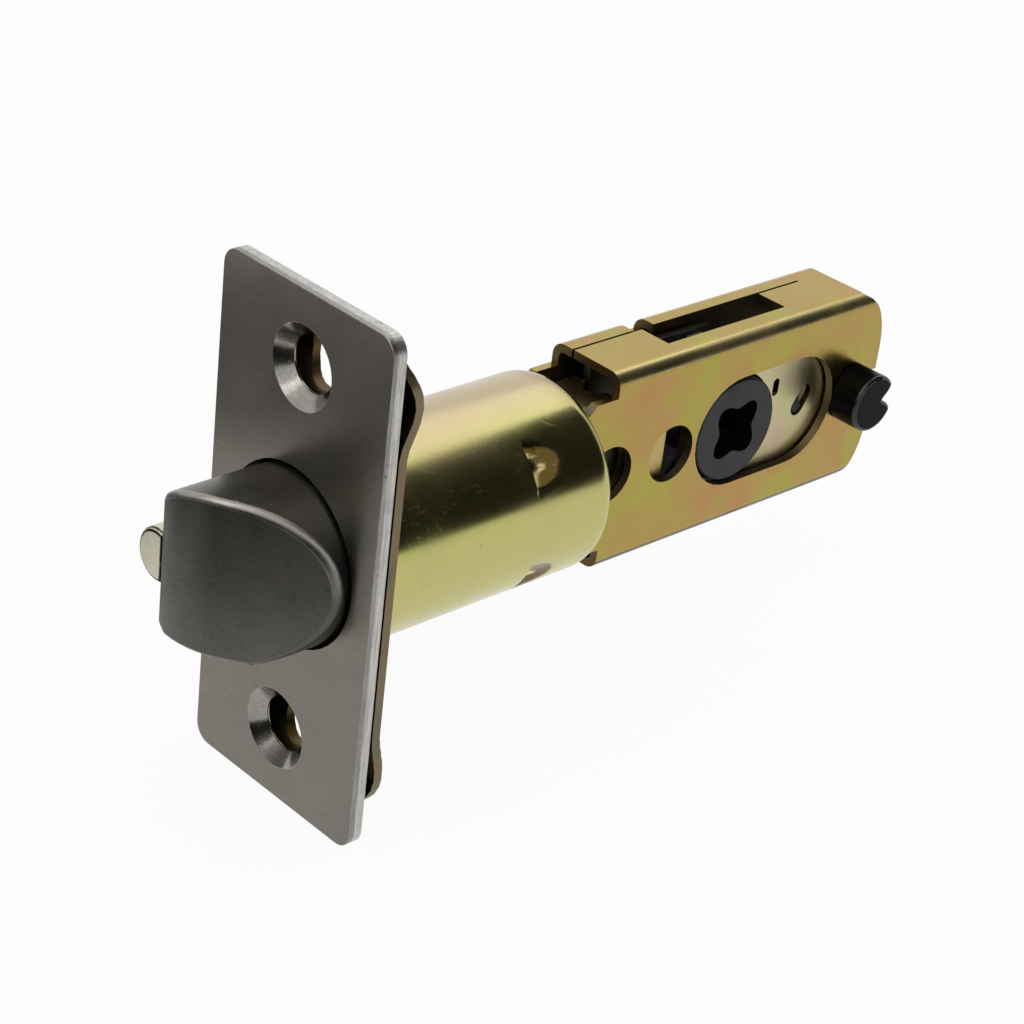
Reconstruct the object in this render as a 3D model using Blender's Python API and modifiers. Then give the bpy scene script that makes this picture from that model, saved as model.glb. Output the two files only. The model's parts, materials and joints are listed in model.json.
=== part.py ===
"""An adjustable tubular door latch with a bevelled bolt, a deadlatch plunger and a sliding hub carriage.

Frame: the origin is on the bolt's axis at the front face of the faceplate. +X is the near side of
the door, +Y runs into the door and +Z is up. All lengths are in metres.
"""

import math

import bmesh
import bpy
from mathutils import Matrix

MM = 0.001

# Running clearance between pieces that touch or slide.
CLEARANCE = 0.3 * MM
# How far a cutter reaches past the face that it cuts.
PAST = 1.0 * MM
# The broken edges of small punched and turned pieces.
BROKEN_EDGE = 0.2 * MM
PIN_EDGE = 0.15 * MM

# Faceplate and its two countersunk screw holes.
PLATE_WIDTH = 25.4 * MM
PLATE_HEIGHT = 57.15 * MM
PLATE_SHEET = 1.7 * MM
PLATE_CORNER = 2.0 * MM
PLATE_EDGE = 0.25 * MM
SCREW_SPACING = 41.1 * MM
SCREW_RADIUS = 3.0 * MM
SCREW_HEAD_RADIUS = 4.45 * MM

# Backing plate, dished around both screws.
BACK_MARGIN = 0.1 * MM
BACK_HEIGHT = 51.0 * MM
BACK_SHEET = 1.0 * MM
BACK_CORNER = 4.0 * MM
BACK_RISE = 0.4 * MM
DISH_SPAN = 10.0 * MM
UPPER_DISH_AT_EDGE = 1.5 * MM
UPPER_DISH_IN_MIDDLE = 1.9 * MM
LOWER_DISH_AT_EDGE = 0.8 * MM
LOWER_DISH_IN_MIDDLE = 2.4 * MM

# Barrel, with a rolled rear shoulder and the dimples that hold the spring seat.
BARREL_MARGIN = 1.7 * MM
BARREL_WALL = 0.8 * MM
BARREL_REAR = 35.2 * MM
BARREL_ROLL = 2.0 * MM
DIMPLE_RADIUS = 2.3 * MM
DIMPLE_WALL = 0.6 * MM
DIMPLE_ANGLES = (39.0, 141.0, 215.0, -34.0)

# Spring seat.
SEAT_FRONT = 22.2 * MM
SEAT_SHEET = 1.6 * MM

# Latch bolt: head, stop shoulder, bevelled nose, rear bore and drawbar slot.
BOLT_PLAY = 0.8 * MM
BOLT_HOLE_PLAY = 0.45 * MM
BOLT_REAR = 10.0 * MM
BOLT_SHOULDER = 0.2 * MM
FLAT_DEPTH = 3.8 * MM
BOLT_THROW = 11.0 * MM
NOSE_FRONT = 11.3 * MM
NOSE_STEP = 1.0 * MM
NOSE_SET = 1.62 * MM
NOSE_ANGLE = 45.6
NOSE_RELIEF = 1.35 * MM
RELIEF_LENGTH = 10.0 * MM
BORE_FRONT = 3.0 * MM
BORE_WALL = 3.8 * MM
BORE_PLAY = 0.25 * MM

# Drawbar, its cross pin and the bolt spring round it.
DRAWBAR_THICK = 1.2 * MM
DRAWBAR_HEIGHT = 3.6 * MM
DRAWBAR_PIN_Y = 37.5 * MM
DRAWBAR_END = 1.6 * MM
PIN_RADIUS = 1.0 * MM
PIN_PLAY = 0.2 * MM
BOLT_SPRING_X = 0.6 * MM
BOLT_SPRING_RADIUS = 2.7 * MM
BOLT_WIRE = 0.3 * MM
BOLT_SPRING_TURNS = 8

# Deadlatch plunger, its bar and its spring.
PLUNGER_PLAY = 0.55 * MM
PLUNGER_RADIUS = 2.9 * MM
PLUNGER_FRONT = 11.1 * MM
PLUNGER_REAR = 7.0 * MM
PLUNGER_EDGE = 0.3 * MM
BAR_THICK = 0.8 * MM
BAR_OFFSET = 1.0 * MM
BAR_HEIGHT = 2.4 * MM
BAR_SOCKET = 2.4 * MM
TAIL_HEIGHT = 4.4 * MM
TAIL_LENGTH = 1.5 * MM
PLUNGER_WIRE = 0.25 * MM
PLUNGER_SPRING_TURNS = 9

# Outer case: a folded sheet box with a neck that enters the barrel.
CASE_WIDTH = 10.4 * MM
CASE_HEIGHT = 23.8 * MM
CASE_SHEET = 1.0 * MM
CASE_BEND = 1.6 * MM
NECK_FRONT = 30.0 * MM
NECK_STEP = 1.0 * MM
NECK_SETBACK = 2.0 * MM
FLANGE_FRONT = 39.6 * MM
FLANGE_REAR = 80.2 * MM
CASE_REAR = 83.7 * MM
REAR_CORNER_RUN = 4.5 * MM
REAR_CORNER_RISE = 7.2 * MM
REAR_CORNER_Z = 4.8 * MM
SEAM_X = -2.2 * MM
SEAM_GAP = 0.3 * MM
SEAM_REAR = 75.8 * MM
WINDOW_FRONT = 49.9 * MM
WINDOW_REAR = 68.9 * MM
WINDOW_SIDE = 2.0 * MM
NOTCH_FRONT = 48.8 * MM
NOTCH_REAR = 52.0 * MM
NOTCH_DEPTH = 1.6 * MM
HOLE_RADIUS = 3.4 * MM
FRONT_HOLE_Y = 39.7 * MM
REAR_HOLE_Y = 49.3 * MM
SLOT_CLEARANCE = 0.45 * MM

# Inner frame: a folded channel inside the front of the case.
FRAME_SHEET = 0.8 * MM
FRAME_DROP = 0.2 * MM
FRAME_REAR = 49.6 * MM
WEB_FRONT = 36.0 * MM
WEB_REAR = 41.5 * MM
WEB_NOTCH = 1.6 * MM

# Hub and its two fingers.
HUB_Y = 60.0 * MM
BACKSET_STEP = 9.5 * MM
JOURNAL_RADIUS = 6.25 * MM
JOURNAL_SINK = 0.2 * MM
HUB_CORE = 5.0 * MM
CAM_RADIUS = 5.5 * MM
FINGER_SINK = 0.05 * MM
FINGER_WIDTH = 2.8 * MM
FINGER_ANGLE = 41.0
STAR_TIP = 4.0 * MM
STAR_NOTCH = 2.65 * MM

# Carriage plates, their spacers and the knob.
CARRIAGE_SHEET = 0.8 * MM
CARRIAGE_FRONT = 52.8 * MM
MIDDLE_PIN = (71.8 * MM, -0.7 * MM)
REAR_PIN_Y = 77.5 * MM
REAR_PIN_DROP = 3.4 * MM
SPACER_RADIUS = 1.5 * MM
TENON_RADIUS = 0.75 * MM
SMALL_OVAL = (67.3 * MM, 3.0 * MM)
SMALL_OVAL_HALF = 0.6 * MM
OVAL_RADIUS = 0.5 * MM
SLANT_OVAL = (72.3 * MM, 0.1 * MM)
SLANT_OVAL_HALF = (0.5 * MM, 0.8 * MM)
KNOB_Y = 79.3 * MM
KNOB_Z = 0.0 * MM
KNOB_RADIUS = 3.5 * MM
KNOB_HEIGHT = 3.7 * MM
KNOB_EDGE = 0.8 * MM
KNOB_NOTCH = 1.9 * MM
KNOB_NOTCH_ANGLE = 6.0
KNOB_NOTCH_SPREAD = 32.0
SHANK_RADIUS = 1.6 * MM

# Yoke: two straps joined by two bars.
STRAP_SHEET = 1.0 * MM
STRAP_GAP = 0.45 * MM
STRAP_PLAY = 0.35 * MM
TONGUE_DROP = 1.7 * MM
TONGUE_FRONT = 25.3 * MM
ARM_DROP = 0.7 * MM
ARM_FRONT = 42.2 * MM
YOKE_BAR_HEIGHT = 3.3 * MM
YOKE_BAR_DROP = 0.3 * MM
YOKE_BAR_DEPTH = 2.5 * MM
YOKE_BAR_GAP = 0.4 * MM
YOKE_TENON = 0.9 * MM
ARM_END = 1.5 * MM
ARM_CORNER = 1.0 * MM
HUB_WINDOW_PLAY = 0.4 * MM
POCKET_DROP = 1.9 * MM

ROUND = 48
SMALL_ROUND = 24
CORNER_STEPS = 6

# Values that follow from those above.
BARREL_FRONT = PLATE_SHEET + CLEARANCE
BACK_WIDTH = PLATE_WIDTH - 2 * BACK_MARGIN
BARREL_RADIUS = PLATE_WIDTH / 2 - BARREL_MARGIN
BARREL_BORE = BARREL_RADIUS - BARREL_WALL
BOLT_RADIUS = BARREL_BORE - BOLT_PLAY
BOLT_HOLE_RADIUS = BOLT_RADIUS + BOLT_HOLE_PLAY
BOLT_FLAT = BOLT_RADIUS - FLAT_DEPTH
NOSE_RADIUS = BOLT_RADIUS - NOSE_STEP
NOSE_CENTRE_X = NOSE_SET - BOLT_FLAT
PLUNGER_X = PLUNGER_RADIUS + PLUNGER_PLAY - BARREL_BORE
BAR_X = PLUNGER_X - BAR_OFFSET
PLUNGER_FLAT_X = -BOLT_FLAT - CLEARANCE
NECK_HEIGHT = 2 * (BARREL_BORE - NECK_SETBACK + NECK_STEP)
FRAME_HEIGHT = NECK_HEIGHT - 2 * (NECK_STEP + FRAME_DROP)
TONGUE_HEIGHT = FRAME_HEIGHT - 2 * (FRAME_SHEET + TONGUE_DROP)
SEAT_REAR = SEAT_FRONT + SEAT_SHEET
CASE_SIDE = CASE_WIDTH / 2
CASE_TOP = CASE_HEIGHT / 2
CARRIAGE_OUTER = CASE_SIDE - CASE_SHEET - CLEARANCE
CARRIAGE_INNER = CARRIAGE_OUTER - CARRIAGE_SHEET
CARRIAGE_TOP = CASE_TOP - CASE_SHEET - CLEARANCE
REAR_PIN_Z = CARRIAGE_TOP - REAR_PIN_DROP
ARM_TOP = CASE_TOP - CASE_SHEET - ARM_DROP
YOKE_BAR_HIGH = ARM_TOP - YOKE_BAR_DROP
YOKE_BAR_LOW = YOKE_BAR_HIGH - YOKE_BAR_HEIGHT
STRAP_OUTER = CARRIAGE_INNER - STRAP_PLAY
STRAP_INNER = STRAP_OUTER - STRAP_SHEET
CAM_THICK = 2 * (STRAP_INNER - STRAP_GAP)
SLOT_RADIUS = JOURNAL_RADIUS + SLOT_CLEARANCE
FINGER_TIP_CENTRE = ARM_TOP - FINGER_WIDTH / 2
BORE_RADIUS = BOLT_SPRING_RADIUS + BOLT_WIRE + BORE_PLAY
PLUNGER_SPRING_RADIUS = math.hypot(BAR_THICK, BAR_HEIGHT) / 2 + CLEARANCE + PLUNGER_WIRE


def finger_rear():
    """How far behind the hub's centre a finger meets the yoke bar's lower edge at rest."""
    lean = math.radians(FINGER_ANGLE)
    return FINGER_WIDTH / 2 / math.cos(lean) - YOKE_BAR_LOW * math.tan(lean)


YOKE_BAR_FRONT = HUB_Y + finger_rear() + YOKE_BAR_GAP
YOKE_REAR = YOKE_BAR_FRONT + YOKE_BAR_DEPTH + ARM_END

# Local axes of a drawn outline as world directions, for an outline swept along X, Y or Z.
OUTLINE_AXES = {
    "X": Matrix(((0, 0, 1), (1, 0, 0), (0, 1, 0))),
    "Y": Matrix(((1, 0, 0), (0, 0, -1), (0, 1, 0))),
    "Z": Matrix.Identity(3),
}
# The same for a shape turned about its local Z.
TURNED_AXES = {
    "X": Matrix(((0, 0, 1), (0, 1, 0), (-1, 0, 0))),
    "Y": Matrix(((1, 0, 0), (0, 0, 1), (0, -1, 0))),
}


def clear_scene():
    for obj in list(bpy.data.objects):
        bpy.data.objects.remove(obj, do_unlink=True)


def new_collection(name):
    collection = bpy.data.collections.new(name)
    bpy.context.scene.collection.children.link(collection)
    return collection


def new_material(name, colour, metallic, roughness):
    material = bpy.data.materials.new(name)
    material.use_nodes = True
    principled = material.node_tree.nodes["Principled BSDF"]
    principled.inputs["Base Color"].default_value = (*colour, 1.0)
    principled.inputs["Metallic"].default_value = metallic
    principled.inputs["Roughness"].default_value = roughness
    return material


def link_solid(name, mesh, matrix):
    obj = bpy.data.objects.new(name, mesh)
    obj.matrix_world = matrix
    bpy.context.scene.collection.objects.link(obj)
    return obj


def placed(axes, location):
    return Matrix.Translation(location) @ axes.to_4x4()


def along(axis, low, high, centre=(0.0, 0.0)):
    """The midpoint of a span on one axis; centre gives the two other coordinates in XYZ order."""
    point = list(centre)
    point.insert("XYZ".index(axis), (low + high) / 2)
    return point


def mesh_from_curve(curve_object):
    """Turns a filled curve into a closed mesh object at the same place and removes the curve."""
    graph = bpy.context.evaluated_depsgraph_get()
    mesh = bpy.data.meshes.new_from_object(curve_object.evaluated_get(graph))
    body = bmesh.new()
    body.from_mesh(mesh)
    bmesh.ops.remove_doubles(body, verts=body.verts, dist=1e-6)
    body.to_mesh(mesh)
    body.free()
    name = curve_object.name
    matrix = curve_object.matrix_world.copy()
    bpy.data.objects.remove(curve_object, do_unlink=True)
    return link_solid(name, mesh, matrix)


def prism(name, loops, low, high, axis):
    """Closed outlines swept from low to high along an axis; loops inside the first are holes."""
    curve = bpy.data.curves.new(name, "CURVE")
    curve.dimensions = "2D"
    curve.fill_mode = "BOTH"
    curve.extrude = (high - low) / 2
    for loop in loops:
        spline = curve.splines.new("POLY")
        spline.points.add(len(loop) - 1)
        for point, (u, v) in zip(spline.points, loop):
            point.co = (u, v, 0.0, 1.0)
        spline.use_cyclic_u = True
    obj = link_solid(name, curve, placed(OUTLINE_AXES[axis], along(axis, low, high)))
    bpy.context.view_layer.update()
    return mesh_from_curve(obj)


def turned(name, profile, axis, location=(0.0, 0.0, 0.0), ring=False, steps=ROUND):
    """A profile of (radius, height) points from the top down the outer side, turned about an axis."""
    mesh = bpy.data.meshes.new(name)
    body = bmesh.new()
    points = [body.verts.new((radius, 0.0, height)) for radius, height in profile]
    for first, second in zip(points, points[1:]):
        body.edges.new((first, second))
    if ring:
        body.edges.new((points[-1], points[0]))
    body.to_mesh(mesh)
    body.free()
    obj = link_solid(name, mesh, placed(TURNED_AXES[axis], location))
    screw = obj.modifiers.new("Turn", "SCREW")
    screw.steps = steps
    screw.render_steps = steps
    screw.use_merge_vertices = True
    screw.merge_threshold = 1e-6
    return obj


def cylinder(name, radius, low, high, axis, centre=(0.0, 0.0), segments=SMALL_ROUND):
    mesh = bpy.data.meshes.new(name)
    body = bmesh.new()
    bmesh.ops.create_cone(
        body, cap_ends=True, segments=segments, radius1=radius, radius2=radius, depth=high - low
    )
    body.to_mesh(mesh)
    body.free()
    return link_solid(name, mesh, placed(TURNED_AXES[axis], along(axis, low, high, centre)))


def box(name, x, y, z):
    """A box from three (low, high) spans."""
    mesh = bpy.data.meshes.new(name)
    body = bmesh.new()
    bmesh.ops.create_cube(body, size=1.0)
    sides = [span[1] - span[0] for span in (x, y, z)]
    bmesh.ops.scale(body, vec=sides, verts=body.verts)
    body.to_mesh(mesh)
    body.free()
    middle = [(span[0] + span[1]) / 2 for span in (x, y, z)]
    return link_solid(name, mesh, Matrix.Translation(middle))


def symmetric(half):
    return (-half, half)


def arc(centre, radii, start, end, steps):
    """Points on an ellipse from start to end degrees, both included."""
    points = []
    for step in range(steps + 1):
        angle = math.radians(start + (end - start) * step / steps)
        points.append((centre[0] + radii[0] * math.cos(angle), centre[1] + radii[1] * math.sin(angle)))
    return points


def rounded_rectangle(width, height, radius, steps=CORNER_STEPS):
    points = []
    for across, up, start in ((1, 1, 0), (-1, 1, 90), (-1, -1, 180), (1, -1, 270)):
        centre = (across * (width / 2 - radius), up * (height / 2 - radius))
        points += arc(centre, (radius, radius), start, start + 90, steps)
    return points


def capsule(start, end, radius, steps=8):
    """A slot outline round the line from start to end."""
    lean = math.degrees(math.atan2(end[1] - start[1], end[0] - start[0]))
    radii = (radius, radius)
    front = arc(end, radii, lean - 90, lean + 90, steps)
    return front + arc(start, radii, lean + 90, lean + 270, steps)


def boolean(target, other, operation):
    modifier = target.modifiers.new(other.name, "BOOLEAN")
    modifier.operation = operation
    modifier.object = other
    for collection in list(other.users_collection):
        collection.objects.unlink(other)
    bpy.data.collections["latch_cutters"].objects.link(other)
    other.hide_render = True
    other.display_type = "WIRE"


def cut(target, *others):
    for other in others:
        boolean(target, other, "DIFFERENCE")


def join(target, *others):
    for other in others:
        boolean(target, other, "UNION")


def keep(target, other):
    boolean(target, other, "INTERSECT")


def soften(obj, width, segments=2):
    bevel = obj.modifiers.new("Edges", "BEVEL")
    bevel.width = width
    bevel.segments = segments
    bevel.limit_method = "ANGLE"
    bevel.angle_limit = math.radians(40)


def make_faceplate():
    outline = rounded_rectangle(PLATE_WIDTH, PLATE_HEIGHT, PLATE_CORNER)
    plate = prism("faceplate", [outline], 0.0, PLATE_SHEET, "Y")
    soften(plate, PLATE_EDGE)
    cut(plate, cylinder("bolt_hole", BOLT_HOLE_RADIUS, -PAST, PLATE_SHEET + PAST, "Y", segments=ROUND))
    sink_depth = SCREW_HEAD_RADIUS - SCREW_RADIUS
    profile = [
        (0.0, PLATE_SHEET + PAST),
        (SCREW_RADIUS, PLATE_SHEET + PAST),
        (SCREW_RADIUS, sink_depth),
        (SCREW_HEAD_RADIUS + PAST, -PAST),
        (0.0, -PAST),
    ]
    for name, side in (("upper_countersink", 1), ("lower_countersink", -1)):
        location = (0.0, 0.0, side * SCREW_SPACING / 2)
        cut(plate, turned(name, profile, "Y", location, steps=32))
    return plate


def dish_depth(x, z):
    """How far the backing plate bows away from the faceplate."""
    from_screw = abs(abs(z) - SCREW_SPACING / 2) / (DISH_SPAN / 2)
    if from_screw >= 1:
        return 0.0
    across = 1 - (2 * x / BACK_WIDTH) ** 2
    edge, middle = UPPER_DISH_AT_EDGE, UPPER_DISH_IN_MIDDLE
    if z < 0:
        edge, middle = LOWER_DISH_AT_EDGE, LOWER_DISH_IN_MIDDLE
    depth = edge + (middle - edge) * across
    return depth * (0.5 + 0.5 * math.cos(math.pi * from_screw))


def make_backing_plate():
    front = PLATE_SHEET + CLEARANCE
    mesh = bpy.data.meshes.new("backing_plate")
    body = bmesh.new()
    bmesh.ops.create_grid(body, x_segments=8, y_segments=42, size=0.5)
    for vert in body.verts:
        x = vert.co.x * (BACK_WIDTH + 2 * PAST)
        z = BACK_RISE + vert.co.y * (BACK_HEIGHT + 2 * PAST)
        vert.co = (x, front + dish_depth(x, z), z)
    bmesh.ops.recalc_face_normals(body, faces=body.faces)
    if sum(face.normal.y for face in body.faces) < 0:
        bmesh.ops.reverse_faces(body, faces=body.faces)
    body.to_mesh(mesh)
    body.free()
    plate = link_solid("backing_plate", mesh, Matrix.Identity(4))
    solidify = plate.modifiers.new("Sheet", "SOLIDIFY")
    solidify.thickness = BACK_SHEET
    solidify.offset = 1.0
    plate.modifiers.new("Facets", "TRIANGULATE")
    outline = rounded_rectangle(BACK_WIDTH, BACK_HEIGHT, BACK_CORNER)
    outline = [(x, z + BACK_RISE) for x, z in outline]
    depth = front + BACK_SHEET + LOWER_DISH_IN_MIDDLE + PAST
    keep(plate, prism("backing_outline", [outline], -PAST, depth, "Y"))
    cut(plate, cylinder("barrel_hole", BARREL_RADIUS + CLEARANCE, 0.0, depth, "Y", segments=ROUND))
    for name, side in (("upper_screw_hole", 1), ("lower_screw_hole", -1)):
        centre = (0.0, side * SCREW_SPACING / 2)
        cut(plate, cylinder(name, SCREW_RADIUS, 0.0, depth, "Y", centre))
    return plate


def barrel_profile():
    mouth = BARREL_RADIUS - BARREL_ROLL
    roll = arc((mouth, BARREL_REAR - BARREL_ROLL), (BARREL_ROLL, BARREL_ROLL), 90, 0, CORNER_STEPS)
    inner = BARREL_ROLL - BARREL_WALL
    under = arc((mouth, BARREL_REAR - BARREL_ROLL), (inner, inner), 0, 90, CORNER_STEPS)
    return roll + [(BARREL_RADIUS, BARREL_FRONT), (BARREL_BORE, BARREL_FRONT)] + under


def ellipsoid(name, centre, radii, turn):
    mesh = bpy.data.meshes.new(name)
    body = bmesh.new()
    bmesh.ops.create_uvsphere(body, u_segments=12, v_segments=8, radius=1.0)
    bmesh.ops.scale(body, vec=radii, verts=body.verts)
    body.to_mesh(mesh)
    body.free()
    return link_solid(name, mesh, Matrix.Translation(centre) @ Matrix.Rotation(turn, 4, "Y"))


def add_dimple(barrel, number, degrees):
    """A lanced dimple pressed inwards right behind the spring seat, sheared open at its front."""
    angle = math.radians(degrees)
    start = SEAT_REAR + CLEARANCE
    distance = BARREL_RADIUS - BARREL_WALL / 2
    centre = (distance * math.cos(angle), start + DIMPLE_RADIUS * 0.8, distance * math.sin(angle))
    outer = (DIMPLE_RADIUS, DIMPLE_RADIUS, DIMPLE_RADIUS)
    hollow = tuple(radius - DIMPLE_WALL for radius in outer)
    shell = ellipsoid(f"dimple_shell_{number}", centre, outer, -angle)
    keep(shell, cylinder(f"dimple_limit_{number}", distance, start, BARREL_REAR, "Y", segments=ROUND))
    join(barrel, shell)
    cut(barrel, ellipsoid(f"dimple_hollow_{number}", centre, hollow, -angle))


def make_barrel():
    barrel = turned("barrel", barrel_profile(), "Y", ring=True)
    neck_side = symmetric(CASE_SIDE + CLEARANCE)
    neck_height = symmetric(NECK_HEIGHT / 2 - NECK_STEP + CLEARANCE)
    rear = (BARREL_REAR - BARREL_ROLL, BARREL_REAR + PAST)
    cut(barrel, box("neck_opening", neck_side, rear, neck_height))
    for number, degrees in enumerate(DIMPLE_ANGLES):
        add_dimple(barrel, number, degrees)
    return barrel


def make_spring_seat():
    radius = BARREL_BORE - CLEARANCE
    seat = cylinder("spring_seat", radius, SEAT_FRONT, SEAT_REAR, "Y", segments=ROUND)
    soften(seat, BROKEN_EDGE, 1)
    through = (SEAT_FRONT - PAST, SEAT_REAR + PAST)
    half_thick = DRAWBAR_THICK / 2 + CLEARANCE
    half_height = DRAWBAR_HEIGHT / 2 + CLEARANCE
    cut(seat, box("drawbar_slot", symmetric(half_thick), through, symmetric(half_height)))
    half_bar = BAR_THICK / 2 + CLEARANCE
    bar_x = (BAR_X - half_bar, BAR_X + half_bar)
    cut(seat, box("bar_slot", bar_x, through, symmetric(BAR_HEIGHT / 2 + CLEARANCE)))
    return seat


def bolt_plan():
    """The bolt seen from above: the flat, the rounded nose and the bevel."""
    centre = (NOSE_CENTRE_X, NOSE_RADIUS - NOSE_FRONT)
    start = -math.degrees(math.acos((-BOLT_FLAT - NOSE_CENTRE_X) / NOSE_RADIUS))
    nose = arc(centre, (NOSE_RADIUS, NOSE_RADIUS), start, NOSE_ANGLE - 90, 8)
    out = BOLT_RADIUS + PAST
    rise = (out - nose[-1][0]) * math.tan(math.radians(NOSE_ANGLE))
    corner = (out, nose[-1][1] + rise)
    return nose + [corner, (out, BOLT_REAR + PAST), (-BOLT_FLAT, BOLT_REAR + PAST)]


def relief_outline():
    """The wedge taken off the underside of the nose, seen from the side."""
    front = -NOSE_FRONT
    slope = NOSE_RELIEF / RELIEF_LENGTH
    start = (front - PAST, -BOLT_RADIUS + NOSE_RELIEF + slope * PAST)
    end = (front + RELIEF_LENGTH + PAST, -BOLT_RADIUS - slope * PAST)
    below = -BOLT_RADIUS - 2 * PAST
    return [start, (start[0], below), (end[0], below), end]


def make_latch_bolt():
    shoulder = BARREL_BORE - CLEARANCE
    shoulder_front = PLATE_SHEET + CLEARANCE + BOLT_SHOULDER
    profile = [
        (0.0, BOLT_REAR),
        (shoulder, BOLT_REAR),
        (shoulder, shoulder_front),
        (BOLT_RADIUS, shoulder_front),
        (BOLT_RADIUS, -NOSE_FRONT - PAST),
        (0.0, -NOSE_FRONT - PAST),
    ]
    bolt = turned("latch_bolt", profile, "Y", steps=64)
    keep(bolt, prism("bolt_plan", [bolt_plan()], -BARREL_RADIUS, BARREL_RADIUS, "Z"))
    cut(bolt, prism("nose_relief", [relief_outline()], -BARREL_RADIUS, BARREL_RADIUS, "X"))
    bore = (-BORE_FRONT, BOLT_REAR + PAST)
    cut(bolt, cylinder("bolt_bore", BORE_RADIUS, *bore, "Y", (BOLT_SPRING_X, 0.0), 32))
    half_thick = DRAWBAR_THICK / 2 + CLEARANCE
    slot = (-BORE_FRONT - BORE_WALL, 0.0)
    half_height = DRAWBAR_HEIGHT / 2 + CLEARANCE
    cut(bolt, box("drawbar_socket", symmetric(half_thick), slot, symmetric(half_height)))
    return bolt


def make_drawbar():
    front = -BORE_FRONT - BORE_WALL + CLEARANCE
    rear = DRAWBAR_PIN_Y + DRAWBAR_END
    half = DRAWBAR_HEIGHT / 2
    outline = [(front, -half), (rear, -half), (rear, half), (front, half)]
    hole = arc((DRAWBAR_PIN_Y, 0.0), (PIN_RADIUS + PIN_PLAY,) * 2, 0, 345, 23)
    return prism("drawbar", [outline, hole], -DRAWBAR_THICK / 2, DRAWBAR_THICK / 2, "X")


def make_drawbar_pin():
    half = STRAP_OUTER + CLEARANCE / 3
    pin = cylinder("drawbar_pin", PIN_RADIUS, -half, half, "X", (DRAWBAR_PIN_Y, 0.0))
    soften(pin, PIN_EDGE, 1)
    return pin


def coil(name, radius, wire, front, rear, x, turns):
    """A compression spring along Y with one closed turn at each end."""
    curve = bpy.data.curves.new(name, "CURVE")
    curve.dimensions = "3D"
    curve.bevel_depth = wire
    curve.bevel_resolution = 2
    curve.use_fill_caps = True
    spline = curve.splines.new("POLY")
    per_turn = 12
    count = per_turn * turns
    closed = 2.2 * wire
    span = (rear - wire) - (front + wire) - 2 * closed
    spline.points.add(count)
    for index, point in enumerate(spline.points):
        turn = index / per_turn
        angle = 2 * math.pi * turn
        ends = min(turn, 1.0) * closed + max(turn - (turns - 1), 0.0) * closed
        middle = min(max(turn - 1, 0.0), turns - 2) / (turns - 2) * span
        y = front + wire + ends + middle
        point.co = (radius * math.cos(angle), y, radius * math.sin(angle), 1.0)
    return link_solid(name, curve, Matrix.Translation((x, 0.0, 0.0)))


def make_bolt_spring():
    front = -BORE_FRONT + CLEARANCE
    rear = SEAT_FRONT - CLEARANCE
    return coil(
        "bolt_spring", BOLT_SPRING_RADIUS, BOLT_WIRE, front, rear, BOLT_SPRING_X, BOLT_SPRING_TURNS
    )


def make_plunger():
    profile = [
        (0.0, PLUNGER_REAR),
        (PLUNGER_RADIUS, PLUNGER_REAR),
        (PLUNGER_RADIUS, -PLUNGER_FRONT + PLUNGER_EDGE),
        (PLUNGER_RADIUS - PLUNGER_EDGE, -PLUNGER_FRONT),
        (0.0, -PLUNGER_FRONT),
    ]
    plunger = turned("deadlatch_plunger", profile, "Y", (PLUNGER_X, 0.0, 0.0), steps=32)
    length = (-PLUNGER_FRONT - PAST, PLUNGER_REAR + PAST)
    beside = symmetric(PLUNGER_RADIUS + PAST)
    cut(plunger, box("plunger_flat", (PLUNGER_FLAT_X, 0.0), length, beside))
    half_bar = BAR_THICK / 2 + CLEARANCE
    x = (BAR_X - half_bar, BAR_X + half_bar)
    y = (PLUNGER_REAR - BAR_SOCKET, PLUNGER_REAR + PAST)
    cut(plunger, box("bar_socket", x, y, symmetric(BAR_HEIGHT / 2 + CLEARANCE)))
    return plunger


def make_deadlatch_bar():
    front = PLUNGER_REAR - BAR_SOCKET + CLEARANCE
    tail = SEAT_REAR + CLEARANCE
    rear = tail + TAIL_LENGTH
    half = BAR_HEIGHT / 2
    wide = TAIL_HEIGHT / 2
    lower = [(front, -half), (tail, -half), (tail, -wide), (rear, -wide)]
    outline = lower + [(y, -z) for y, z in reversed(lower)]
    low = BAR_X - BAR_THICK / 2
    return prism("deadlatch_bar", [outline], low, low + BAR_THICK, "X")


def make_plunger_spring():
    front = PLUNGER_REAR + CLEARANCE
    rear = SEAT_FRONT - CLEARANCE
    return coil(
        "plunger_spring",
        PLUNGER_SPRING_RADIUS,
        PLUNGER_WIRE,
        front,
        rear,
        BAR_X,
        PLUNGER_SPRING_TURNS,
    )


def rear_corner(inset, top):
    """The upper rear corner of the case seen from the side, up to the flange end or to the top."""
    run = REAR_CORNER_RUN - inset
    rise = REAR_CORNER_RISE - inset
    centre = (CASE_REAR - REAR_CORNER_RUN, REAR_CORNER_Z)
    flange_end = math.acos(min(1.0, max(-1.0, (FLANGE_REAR - inset - centre[0]) / run)))
    top_end = math.asin(min(1.0, (top - centre[1]) / rise))
    return arc(centre, (run, rise), 0, math.degrees(min(flange_end, top_end)), CORNER_STEPS)


def case_outline():
    neck = NECK_HEIGHT / 2
    inside = neck - NECK_STEP
    step = BARREL_REAR + CLEARANCE
    over = CASE_TOP + PAST
    upper = rear_corner(0.0, CASE_TOP) + [(FLANGE_REAR, over), (FLANGE_FRONT, over), (FLANGE_FRONT, neck)]
    upper += [(step + NECK_STEP, neck), (step, inside), (NECK_FRONT, inside)]
    return upper + [(y, -z) for y, z in reversed(upper)]


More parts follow.
